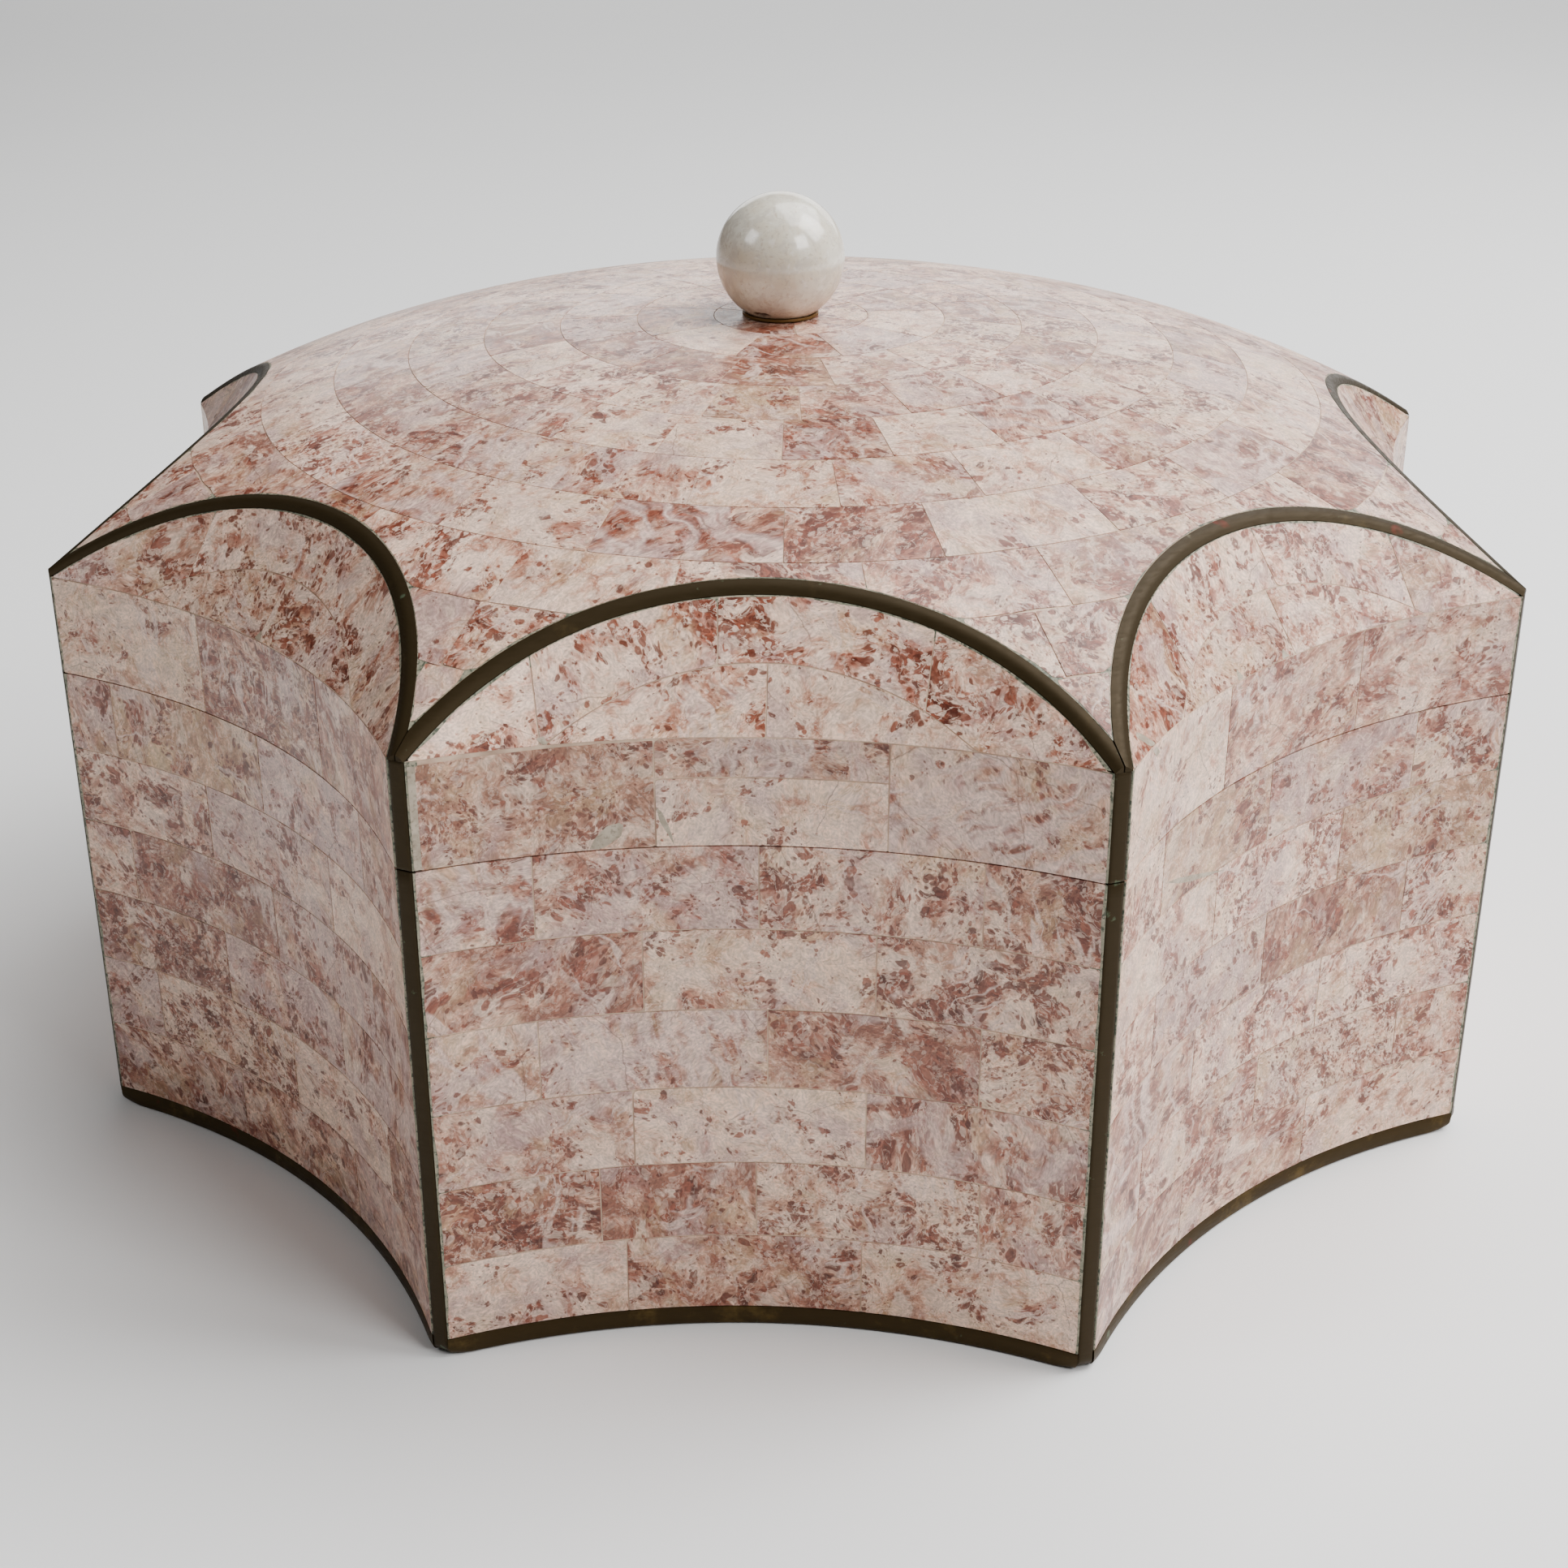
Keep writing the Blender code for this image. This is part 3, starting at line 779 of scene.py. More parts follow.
def dome_tiles(target):
    """Rings of tiles round the ball, cut off by the arch strips."""
    luck = target.luck
    place = on_face(on_dome, 0)
    turns, radii = dome_limit(ARCH_WIDTH / 2 + GAP)

    def limit(azimuth):
        turn = (azimuth + HALF) % SECTOR - HALF
        return float(np.interp(turn, turns, radii))

    def to_plan(side):
        return rows(side[:, 1] * np.sin(side[:, 0]), -side[:, 1] * np.cos(side[:, 0]))

    inner = 0.0
    for ring, (outer, count, phase) in enumerate(DOME_RINGS):
        outer = outer * MILLIMETRE
        low = inner + DOME_JOINT / 2
        high = outer - DOME_JOINT / 2
        pitch = 2 * math.pi / count
        spread = DOME_JOINT / 2 / ((low + high) / 2)
        jitter = [luck.uniform(-DOME_STRAY, DOME_STRAY) * pitch for _ in range(count)]
        joints = [math.radians(phase) + step * pitch + jitter[step % count] for step in range(count + 1)]
        for number in range(count):
            kind = DOME_KINDS.get((ring, number)) or luck.choice(DOME_COMMON)
            samples = np.linspace(joints[number] + spread, joints[number + 1] - spread, DOME_SAMPLES)
            free = [limit(value) > low + LEAST_DOME_HEIGHT for value in samples]
            for first, last in runs_of(samples, free):
                if (last - first) * outer < LEAST_DOME_WIDTH:
                    continue
                cut = any(limit(value) < high for value in (first, (first + last) / 2, last))
                bounded_tile(target, level(low), lambda value: min(high, limit(value)), first, last,
                             place, kind, (0, 0, BRASS_WEAR if cut else 0, 0), to_plan, DOME_TILE_SAMPLES)
        inner = outer


def add_patch(target, corners, place):
    """Thin patch of filler."""
    rim = [(np.array((corners[index - 1], corners[index])), 0.0) for index in range(len(corners))]
    add_tile(target, rim, lambda flat, depth: place(flat, depth - PATCH_PROUD), "light", FILLER)


def wall_patches(target, low, high):
    """Patches on the walls between two heights."""
    for face, corners in WALL_PATCHES:
        corners = np.array(corners) * MILLIMETRE
        if low < corners[0, 1] < high:
            add_patch(target, corners, on_face(on_wall, face))


def panel_patches(target):
    """Patches on the panels."""
    for face, corners in PANEL_PATCHES:
        corners = np.array(corners) * MILLIMETRE
        corners[:, 1] = (corners[:, 1] - RIM_HEIGHT) / math.sin(PANEL_TILT)
        add_patch(target, corners, on_face(on_panel, face))


def wall_ring(inset, height):
    """Star outline, set in, at one height, with the corner strips' grooves at its points."""
    end = wall_end(GROOVE_HALF, inset)
    along = np.linspace(-end, end, CORE_STEPS + 1)
    ahead = np.array((math.sin(HALF), -math.cos(HALF))) * GROOVE_FLOOR
    aside = np.array((math.cos(HALF), math.sin(HALF))) * GROOVE_HALF
    mirror = np.array((-1, 1))
    floor = [(*(ahead * mirror), height), (*((ahead - aside) * mirror), height), (*(ahead - aside), height)]
    wall = on_wall(rows(along * ARC_RADIUS, height), inset)
    return all_round(np.concatenate((floor[:2], wall, floor[2:])))


def core_turns():
    """Angles from a face's middle of the points that a ring has there."""
    turns = turn_of(wall_ring(0.0, 0.0)[2:CORE_STEPS + 3])
    return np.concatenate(((-HALF, (turns[0] - HALF) / 2), turns, ((turns[-1] + HALF) / 2,)))


TURNS = core_turns()


def ring_of(radius, height):
    """Closed ring round the axis from the radii and heights at the turns of one face."""
    return all_round(rows(radius * np.sin(TURNS), -radius * np.cos(TURNS), height))


def plan_radius(inset):
    """Distances from the axis to a face that is set in, at the turns."""
    reach = ARC_RADIUS + inset
    return ARC_CENTRE * np.cos(TURNS) - np.sqrt(reach ** 2 - (ARC_CENTRE * np.sin(TURNS)) ** 2)


def panel_height(radius, set_in):
    """Heights of a panel that is set in, at the turns."""
    reach = np.hypot(radius * np.sin(TURNS), ARC_CENTRE - radius * np.cos(TURNS))
    return RIM_HEIGHT + math.tan(PANEL_TILT) * (reach - ARC_RADIUS - set_in)


def fold_radius(inset, shell, set_in):
    """Where a lowered dome and a set-in panel meet, at the turns, by halving."""
    low = np.zeros(len(TURNS))
    high = plan_radius(inset)
    for _ in range(HALVINGS):
        middle = (low + high) / 2
        above = dome_height(middle) - shell > panel_height(middle, set_in)
        low = np.where(above, low, middle)
        high = np.where(above, middle, high)
    return (low + high) / 2


def level_ring(inset, height):
    """Star outline, set in, at one height."""
    return ring_of(plan_radius(inset), height)


def dome_rings(radius, shares, shell):
    """Rings on a lowered dome, at shares of the way out."""
    return [ring_of(radius * share, dome_height(radius * share) - shell) for share in shares]


def crown_rings():
    """Rings of the lid's core from the axis over the arch strips' groove down to the rim."""
    rim = wall_ring(BED, RIM_HEIGHT)
    foot = reach_of(rim[:len(TURNS)])
    width = ARCH_WIDTH / 2 + GAP / 2
    over = np.minimum(np.interp(TURNS, *dome_limit(width)), foot - OVER_END)
    along, slant = arch.panel_edge(width)
    edge = on_panel(rows(along, np.maximum(slant, 0.0)))
    under = np.interp(TURNS, turn_of(edge), reach_of(edge))
    free = under < foot - SHELF
    under = np.where(free, under, foot - UNDER_END)
    set_in = BED / math.sin(PANEL_TILT)
    beside = np.where(free, panel_height(under, set_in), RIM_HEIGHT - ARCH_GROOVE)
    rings = [ring_of(0.0, APEX_HEIGHT - BED)]
    rings += dome_rings(over, [step / DOME_STEPS for step in range(1, DOME_STEPS + 1)], BED)
    rings.append(ring_of(over, dome_height(over) - ARCH_GROOVE))
    rings.append(ring_of(under, np.minimum(beside, panel_height(under, 0.0) - ARCH_GROOVE)))
    rings.append(ring_of(under, beside))
    for share in (0.33, 0.67):
        radius = under + share * (foot - under)
        heights = np.where(free, panel_height(radius, set_in), RIM_HEIGHT - ARCH_GROOVE * (1 - share))
        rings.append(ring_of(radius, heights))
    rings.append(rim)
    return rings


def add_skin(target, rings, slots):
    """Closed skin through rings; slots gives the material of each stretch between two rings."""
    size = len(rings[0])
    for number, slot in enumerate(slots):
        start = target.count + number * size
        for here in range(size):
            after = (here + 1) % size
            target.faces.append((start + here, start + size + here, start + size + after, start + after))
        target.slots += [slot] * size
    target.add(np.concatenate(rings), [])


def tube_faces(count, size):
    """Faces of a closed bar: size lines of count points each, and its two ends."""
    faces = []
    for here in range(count - 1):
        for side in range(size):
            other = (side + 1) % size
            faces.append((side * count + here, side * count + here + 1,
                          other * count + here + 1, other * count + here))
    faces.append(tuple(side * count for side in range(size)))
    faces.append(tuple(side * count + count - 1 for side in reversed(range(size))))
    return faces


def over_plane(line, offset):
    """How far a line is over the upright planes, less an offset, that part the front face from its next."""
    return np.abs(line[:, 0]) * math.cos(HALF) + line[:, 1] * math.sin(HALF) + offset


def over_reach(line, reach):
    """How far a line is beyond a reach along the direction of a face's points."""
    return np.abs(line[:, 0]) * math.sin(HALF) - line[:, 1] * math.cos(HALF) - reach


def cut_off(line, beyond, count):
    """A line in even steps, without its two ends where beyond is above zero."""
    middle = len(line) // 2
    first = np.nonzero(beyond[:middle] > 0)[0]
    last = np.nonzero(beyond[middle:] > 0)[0]
    start = 0.0
    end = len(line) - 1.0
    if len(first):
        index = first[-1]
        start = index + beyond[index] / (beyond[index] - beyond[index + 1])
    if len(last):
        index = last[0] + middle
        end = index - beyond[index] / (beyond[index] - beyond[index - 1])
    return between(np.linspace(start, end, count), np.arange(len(line)), line)


def clipped(line, offset, reach, count):
    """A line along the front face, cut off near the upright planes and at its reach."""
    return cut_off(line, np.maximum(over_plane(line, offset), over_reach(line, reach)), count)


def butted(line, offset, reach, count):
    """A line along the front face, cut off at its reach and pressed flat against the upright planes."""
    line = cut_off(line, over_reach(line, reach), count)
    over = np.maximum(over_plane(line, offset), 0)
    line[:, 0] -= np.sign(line[:, 0]) * over * math.cos(HALF)
    line[:, 1] -= over * math.sin(HALF)
    return line


def filler_ribbon(target, place, edges):
    """Thin closed ribbon of filler between two edges."""
    near, far = [[place(edge, depth) for depth in (FILLER_DEPTH, FILLER_THICK)] for edge in edges]
    points = np.concatenate((near[0], far[0], far[1], near[1]))
    target.add(points, tube_faces(len(near[0]), 4), VERDIGRIS)


def upright_fillers(target, low, high):
    """Filler on both sides of each corner strip."""
    heights = np.linspace(low, high, FILLER_STEPS)
    for face in range(POINTS):
        for side in (-1, 1):
            places = (side * ARC_RADIUS * wall_end(GROOVE_HALF), side * (FACE_END - FILLER_WIDTH))
            filler_ribbon(target, on_face(on_wall, face), [rows(place, heights) for place in places])


def arch_fillers(target):
    """Filler on both sides of each arch strip, on the dome and on the panel."""
    domes = []
    panels = []
    for width in (ARCH_WIDTH / 2 + GAP / 2, ARCH_WIDTH / 2 + FILLER_WIDTH):
        domes.append(clipped(arch.dome_edge(width), 0.0, FLAT_RADIUS, ARCH_STEPS)[:, :2])
        edge = rows(*arch.panel_edge(width))
        free = np.nonzero(edge[:, 1] > SHELF)[0]
        panels.append(between(np.linspace(free[0], free[-1], ARCH_STEPS), np.arange(len(edge)), edge))
    for face in range(POINTS):
        filler_ribbon(target, on_face(on_dome, face), domes)
        filler_ribbon(target, on_face(on_panel, face), panels)


def make_base(materials):
    """Base: hollow core with the grout bed outside and a plain lining inside, and its tiles."""
    target = Gathered(BASE_SEED)
    rebate = BAND_DEPTH + GAP
    lip = WALL - LIP_THICKNESS
    rings = [
        ring_of(0.0, 0.0),
        level_ring(rebate, 0.0),
        level_ring(rebate, BAND_HEIGHT + GAP),
        wall_ring(BED, BAND_HEIGHT + GAP),
        wall_ring(BED, SEAM_HEIGHT - BED),
        level_ring(lip, SEAM_HEIGHT - BED),
        level_ring(lip, LIP_TOP),
        level_ring(WALL, LIP_TOP),
        level_ring(WALL, FLOOR),
        ring_of(0.0, FLOOR),
    ]
    add_skin(target, rings, [LINING] * 3 + [GROUT] * 2 + [LINING] * 4)
    for face in range(POINTS):
        wall_tiles(target, face)
    upright_fillers(target, BAND_HEIGHT + GAP, SEAM_HEIGHT - BED)
    wall_patches(target, 0.0, SEAM_HEIGHT)
    reshape(target.piece("base_stone", materials, "pink_stone", ["base_body"]), join_axis)


def make_lid(materials):
    """Lid: hollow core, tiles on dome, panels and wall, and filler beside the brass."""
    target = Gathered(LID_SEED)
    rebate = WALL - LIP_THICKNESS - LIP_PLAY
    set_in = DOME_SHELL / math.sin(PANEL_TILT)
    fold = fold_radius(WALL, DOME_SHELL, set_in)
    rings = crown_rings()
    outside = len(rings) + 1
    rings += [
        wall_ring(BED, LID_BOTTOM + BED),
        level_ring(rebate, LID_BOTTOM + BED),
        level_ring(rebate, REBATE_TOP),
        level_ring(WALL, REBATE_TOP),
        ring_of(plan_radius(WALL), panel_height(plan_radius(WALL), set_in)),
    ]
    rings += dome_rings(fold, [step / CEILING_STEPS for step in range(CEILING_STEPS, 0, -1)], DOME_SHELL)
    rings.append(ring_of(0.0, APEX_HEIGHT - DOME_SHELL))
    add_skin(target, rings, [GROUT] * outside + [LINING] * (len(rings) - 1 - outside))
    for face in range(POINTS):
        lid_wall_tiles(target, face)
        panel_tiles(target, face)
    dome_tiles(target)
    upright_fillers(target, LID_BOTTOM + BED, RIM_HEIGHT)
    arch_fillers(target)
    wall_patches(target, LID_BOTTOM, RIM_HEIGHT)
    panel_patches(target)
    reshape(target.piece("lid_stone", materials, "pink_stone", ["lid_body"]), join_axis)


def sweep(name, lines, brass, node):
    """Closed bar through lines of points, one line for each corner of its section."""
    target = Gathered()
    target.add(np.concatenate(lines), tube_faces(len(lines[0]), len(lines)))
    reshape(target.piece(name, [brass], "dark_brass", [node], BRASS_SHARP), face_outwards)


def arch_section():
    """Lines of an arch strip's section: its two edges, the rounded ridge between them, and its back."""
    floor = RIM_HEIGHT + HAIR
    width = ARCH_WIDTH / 2
    dome_edge = arch.points + arch.to_dome * width
    panel_edge = arch.points + arch.to_panel * width
    drop = arch.points[:, 2] - panel_edge[:, 2]
    share = np.clip((arch.points[:, 2] - floor) / np.maximum(drop, 1e-9), 0, 1)
    panel_edge = arch.points + arch.to_panel * width * share[:, None]
    lines = [dome_edge]
    start = arch.points + arch.to_dome * width * RIDGE_SHARE
    end = arch.points + (panel_edge - arch.points) * RIDGE_SHARE
    for part in (0.0, 0.2, 0.4, 0.6, 0.8, 1.0):
        lines.append(start * (1 - part) ** 2 + arch.points * 2 * part * (1 - part) + end * part ** 2)
    lines.append(panel_edge)
    for edge in (panel_edge, dome_edge):
        back = edge - arch.up * ARCH_DEPTH
        back[:, 2] = np.maximum(back[:, 2], floor)
        lines.append(back)
    return [butted(line, GAP / 2, FLAT_RADIUS, ARCH_STEPS) for line in lines]


def band_section():
    """Lines of a band's section, its lower edge rounder close to the points."""
    along = np.linspace(-ARC_HALF, ARC_HALF, BAND_SAMPLES)
    near = np.clip(1 - (FACE_END - np.abs(along) * ARC_RADIUS) / FOOT_REACH, 0, 1)
    ease = BAND_ROUND + (FOOT_ROUND - BAND_ROUND) * near ** 2
    section = [(ease * (1 - math.sin(turn)), ease * (1 - math.cos(turn))) for turn in QUARTER]
    section += [(0.0, BAND_HEIGHT - BAND_EASE), (BAND_EASE, BAND_HEIGHT), (BAND_DEPTH, BAND_HEIGHT),
                (BAND_DEPTH, 0.0)]
    lines = [on_wall(rows(along * ARC_RADIUS, height), inset) for inset, height in section]
    return [clipped(line, CORNER_WIDTH / 2 + HAIR, STAR_RADIUS, BAND_STEPS) for line in lines]


def make_each_face(lines, name, brass, node):
    """The same strip on each face."""
    for face in range(POINTS):
        sweep(f"{name}_{face + 1}", [turned(line, face * SECTOR) for line in lines], brass,
              f"{node}_{face + 1}")


def corner_strip(name, low, high, foot, brass, node, angle):
    """Upright strip at a point: outer edges rounded, the lower end rounded where it is a foot."""
    half = CORNER_WIDTH / 2
    turns = [math.radians(90) * step / 5 for step in range(6)]
    arc = [(half - CORNER_ROUND * (1 - math.sin(turn)), CORNER_ROUND * (1 - math.cos(turn)))
           for turn in turns]
    section = [(-across, depth) for across, depth in reversed(arc)] + arc
    section += [(half, CORNER_DEPTH), (-half, CORNER_DEPTH)]
    if foot:
        heights = [low + foot * (1 - math.cos(turn)) for turn in QUARTER]
        rounds = [foot * (1 - math.sin(turn)) for turn in QUARTER]
    else:
        heights = [low, low + CORNER_EASE]
        rounds = [CORNER_EASE, 0.0]
    body = np.linspace(heights[-1], high - CORNER_EASE, STRIP_STEPS)[1:]
    heights += [*body, high]
    rounds += [0.0] * len(body) + [CORNER_EASE]
    lines = []
    for across, depth in section:
        line = []
        for height, inset in zip(heights, rounds):
            spot = Vector([value * scale for value, scale in zip((across, height, angle), CORNER_WAVES)])
            wave = CORNER_WAVE * noise.noise(spot)
            deep = max(depth, inset if depth < CORNER_DEPTH / 2 else 0.0)
            line.append((across, -(FLAT_RADIUS - deep) + abs(wave), height))
        lines.append(turned(np.array(line), angle))
    sweep(name, lines, brass, node)


def make_corners(brass):
    """Upright strips of the base and of the lid."""
    parts = (("base", 0.0, SEAM_HEIGHT, CORNER_FOOT), ("lid", LID_BOTTOM, RIM_HEIGHT, 0.0))
    for point in range(POINTS):
        for part, low, high, foot in parts:
            corner_strip(f"{part}_corner_brass_{point + 1}", low, high, foot, brass,
                         f"{part}_corner_strip_{point + 1}", (point + 0.5) * SECTOR)


def make_ball(pale):
    """Stone ball with a flat spot below, and a dark pit in its lower left."""
    pit = Vector(PIT_PLACE).normalized()
    across = Vector(PIT_LEAN).cross(pit).normalized()
    length = pit.cross(across)
    centre = Vector(((BALL_HIGH.x + BALL_LOW.x) / 2, 0, BALL_MIDDLE))
    shape = bmesh.new()
    pit_darkening = shape.verts.layers.float.new("pit")
    bmesh.ops.create_icosphere(shape, subdivisions=6, radius=BALL_RADIUS)
    for vert in shape.verts:
        way = vert.co.normalized()
        lump = BALL_LUMPS * noise.noise(way * BALL_LUMP_SCALE)
        along = (way - pit).dot(length) * BALL_RADIUS / PIT_LENGTH
        beside = (way - pit).dot(across) * BALL_RADIUS / PIT_WIDTH
        ragged = 1 + PIT_RAGGED * noise.noise(way * PIT_RAGGED_SCALE)
        deep = max(0.0, 1 - (along ** 2 + beside ** 2) * ragged) if way.dot(pit) > 0 else 0.0
        # The pit is coloured darker the deeper it is.
        vert[pit_darkening] = min(1.0, PIT_DARKENING * deep)
        vert.co = way * (BALL_RADIUS - abs(lump) - PIT_DEPTH * deep)
    parts = shape.verts[:] + shape.edges[:] + shape.faces[:]
    bmesh.ops.bisect_plane(shape, geom=parts, plane_co=(0, 0, BALL_LOW.z - centre.z), plane_no=(0, 0, -1),
                           clear_outer=True)
    rim = [edge for edge in shape.edges if edge.is_boundary]
    bmesh.ops.contextual_create(shape, geom=rim)
    for vert in shape.verts:
        vert.co += centre
    mesh = mesh_of(shape, "stone_ball", pale)
    mesh.shade_smooth()
    mesh.set_sharp_from_angle(angle=STONE_SHARP)
    dress(bpy.data.objects.new("stone_ball", mesh), ["ball_finial"])


def make_seat(brass):
    """Low turned brass ring round the ball's foot, its outer edge rounded."""
    low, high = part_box("finial_seat")
    middle = (high.x + low.x) / 2
    radius = high.x - middle

    def beside_ball(height):
        return math.sqrt((BALL_RADIUS + GAP / 3) ** 2 - (BALL_MIDDLE - height) ** 2)

    profile = [(beside_ball(low.z), low.z), (radius, low.z)]
    for degrees in (0, 30, 60, 90):
        turn = math.radians(degrees)
        profile.append((radius - SEAT_ROUND * (1 - math.cos(turn)),
                        high.z - SEAT_ROUND * (1 - math.sin(turn))))
    profile += [(beside_ball(high.z), high.z), (beside_ball(low.z), low.z)]
    turns = np.arange(SEAT_STEPS) * 2 * math.pi / SEAT_STEPS
    rings = [rows(middle + reach * np.sin(turns), -reach * np.cos(turns), height)
             for reach, height in profile]
    target = Gathered()
    add_skin(target, rings, [0] * (len(rings) - 1))
    reshape(target.piece("seat_brass", [brass], "dark_brass", ["finial_seat"]), join_doubles)


def linear(red, green, blue):
    """Linear colour from the 0 to 255 values that a screen shows."""
    values = [part / 255 for part in (red, green, blue)]
    return tuple(v / 12.92 if v <= 0.04045 else ((v + 0.055) / 1.055) ** 2.4 for v in values) + (1.0,)


class Paint:
    """A material and short calls that add nodes to it; a flat one draws its noise in two dimensions."""

    def __init__(self, name, flat=False):
        self.dimensions = "2D" if flat else "3D"
        self.material = bpy.data.materials.new(name)
        self.material.use_nodes = True
        self.tree = self.material.node_tree
        self.shader = self.tree.nodes["Principled BSDF"]

    def feed(self, socket, value):
        """Links a socket or sets its value."""
        if isinstance(value, bpy.types.NodeSocket):
            self.tree.links.new(value, socket)
        else:
            socket.default_value = value

    def node(self, kind, inputs=None, **settings):
        """Adds a node with settings and inputs, and gives its outputs."""
        made = self.tree.nodes.new(kind)
        for key, value in settings.items():
            setattr(made, key, value)
        for key, value in (inputs or {}).items():
            self.feed(made.inputs[key], value)
        return made.outputs

    def places(self):
        """Places on the object."""
        return self.node("ShaderNodeTexCoord")["Object"]

    def attribute(self, name):
        """Outputs of an attribute of the mesh."""
        return self.node("ShaderNodeAttribute", attribute_name=name)

    def parts(self, colour):
        """Red, green and blue of a colour."""
        return self.node("ShaderNodeSeparateColor", {0: colour})

    def math(self, operation, first, second=0.0):
        """One sum of two values."""
        return self.node("ShaderNodeMath", {0: first, 1: second}, operation=operation)[0]

    def plus(self, first, second):
        """Two values added."""
        return self.math("ADD", first, second)

    def times(self, first, second):
        """Two values multiplied."""
        return self.math("MULTIPLY", first, second)

    def centred(self, value, gain):
        """How far a value is from one half, times a gain."""
        return self.times(self.math("SUBTRACT", value, 0.5), gain)

    def ripple(self, value):
        """How far a value is from one half, up or down."""
        return self.math("ABSOLUTE", self.centred(value, 1.0))

    def vector(self, operation, first, second):
        """One sum of two vectors."""
        return self.node("ShaderNodeVectorMath", {0: first, 1: second}, operation=operation)[0]

    def moved(self, where, *shift):
        """Places moved, so that what is drawn there differs."""
        return self.vector("ADD", where, shift)

    def noise(self, where, scale, detail=4.0, roughness=0.55, part="Fac"):
        """Noise at a scale in features per metre."""
        inputs = {"Vector": where, "Scale": scale, "Detail": detail, "Roughness": roughness}
        return self.node("ShaderNodeTexNoise", inputs, noise_dimensions=self.dimensions)[part]

    def cells(self, where, scale, feature="F1", part="Distance"):
        """Cells at a scale in features per metre."""
        return self.node("ShaderNodeTexVoronoi", {"Vector": where, "Scale": scale}, feature=feature,
                         voronoi_dimensions=self.dimensions)[part]

    def spread(self, value, low, high, to_low=0.0, to_high=1.0):
        """Smooth step from one value to another."""
        inputs = {"Value": value, "From Min": low, "From Max": high, "To Min": to_low, "To Max": to_high}
        return self.node("ShaderNodeMapRange", inputs, interpolation_type="SMOOTHSTEP")["Result"]

    def mix(self, share, first, second, blend="MIX"):
        """Blend of two colours."""
        return self.node("ShaderNodeMix", {0: share, 6: first, 7: second}, data_type="RGBA",
                         blend_type=blend)[2]

    def coat(self, colour, share, tone, most=1.0):
        """A colour with a tone over it: share says where, most how strongly."""
        return self.mix(share if most == 1.0 else self.times(share, most), colour, linear(*tone))

    def finish(self, colour, roughness, height=None, strength=0.0, distance=0.0001, specular=0.5):
        """Sets colour, roughness and gloss, and bumps from a height, and gives the material."""
        self.feed(self.shader.inputs["Base Color"], colour)
        self.feed(self.shader.inputs["Roughness"], roughness)
        self.shader.inputs["Specular IOR Level"].default_value = specular
        if height is not None:
            inputs = {"Height": height, "Strength": strength, "Distance": distance}
            self.feed(self.shader.inputs["Normal"], self.node("ShaderNodeBump", inputs)["Normal"])
        return self.material


def warped(paint, where, scale, amount, detail=3.0):
    """Places shifted by noise, so that what is drawn on them looks natural."""
    shift = paint.noise(where, scale, detail, part="Color")
    centred = paint.vector("SUBTRACT", shift, (0.5, 0.5, 0.5))
    scaled = paint.node("ShaderNodeVectorMath", {0: centred, "Scale": amount}, operation="SCALE")[0]
    return paint.vector("ADD", where, scaled)


def grains(paint, where, scale, limit, spread):
    """Blobs round cell centres: limit is how far each reaches, spread how much that differs by cell."""
    cell = paint.node("ShaderNodeTexVoronoi", {"Vector": where, "Scale": scale})
    luck = paint.parts(cell["Color"])
    reach = paint.plus(limit, paint.centred(luck[0], spread))
    return paint.spread(paint.math("SUBTRACT", reach, cell["Distance"]), 0.0, 0.10), luck[1]


def favoured(paint, where, settings, look, gain):
    """Noise that a tile's look lifts."""
    return paint.plus(paint.noise(where, *settings), paint.times(look, gain))


# Tones of the pink stone, as a screen shows them, and the steps of its ground from one tone to the next
GROUND_TONES = ((146, 88, 72), (181, 125, 104), (205, 152, 129), (228, 182, 156), (248, 211, 187))
GROUND_STEPS = (-0.55, -0.25, 0.05, 0.35, 0.75)
CLOUD_WHITE = (250, 218, 198)
SALLOW = (208, 174, 130)
LILAC = (202, 169, 162)
RUST_HAZE = (170, 98, 76)
RUST_CORE = (82, 37, 27)
WIDE_VEIN = (226, 192, 182)
THIN_VEIN = (238, 207, 193)
LACE_WHITE = (247, 215, 194)
CRACK_BROWN = (124, 94, 80)

# Rust grains: how many a metre, how far they reach, how much that differs, how strong, and their two tones
GRAINS = (
    (230.0, -0.10, 0.80, 0.80, (110, 52, 38), (156, 84, 62)),
    (500.0, 0.16, 0.75, 0.85, (94, 40, 28), (156, 84, 62)),
    (1050.0, 0.16, 0.70, 0.80, (94, 40, 28), (148, 90, 70)),
)


def stone_ground(paint, wide, small, looks):
    """Ground of a tile, from rose brown over pink beige to cream, with white, sallow and lilac patches."""
    broad = paint.centred(paint.noise(wide, 70.0, 3.0, 0.6), 3.0)
    lift = paint.plus(paint.plus(broad, paint.centred(small, 3.4)), paint.centred(looks["cream"], 1.4))
    ground = linear(*GROUND_TONES[0])
    for low, high, tone in zip(GROUND_STEPS, GROUND_STEPS[1:], GROUND_TONES[1:]):
        ground = paint.coat(ground, paint.spread(lift, low, high), tone)
    cloud = favoured(paint, paint.moved(wide, 1.2, 8.4, 2.2), (130.0, 3.0, 0.6), looks["cream"], 0.12)
    ground = paint.coat(ground, paint.spread(cloud, 0.60, 0.70), CLOUD_WHITE, 0.8)
    sallow = paint.noise(paint.moved(wide, 6.3, 0.7, 5.1), 80.0, 3.0, 0.6)
    sallow = paint.plus(paint.spread(sallow, 0.50, 0.68, 0.0, 0.35), paint.times(looks["tan"], 0.45))
    ground = paint.coat(ground, sallow, SALLOW)
    patch = favoured(paint, paint.moved(wide, 3.1, 7.7, 1.3), (75.0, 3.0, 0.6), looks["lilac"], 0.30)
    return paint.coat(ground, paint.spread(patch, 0.58, 0.78), LILAC, 0.75)


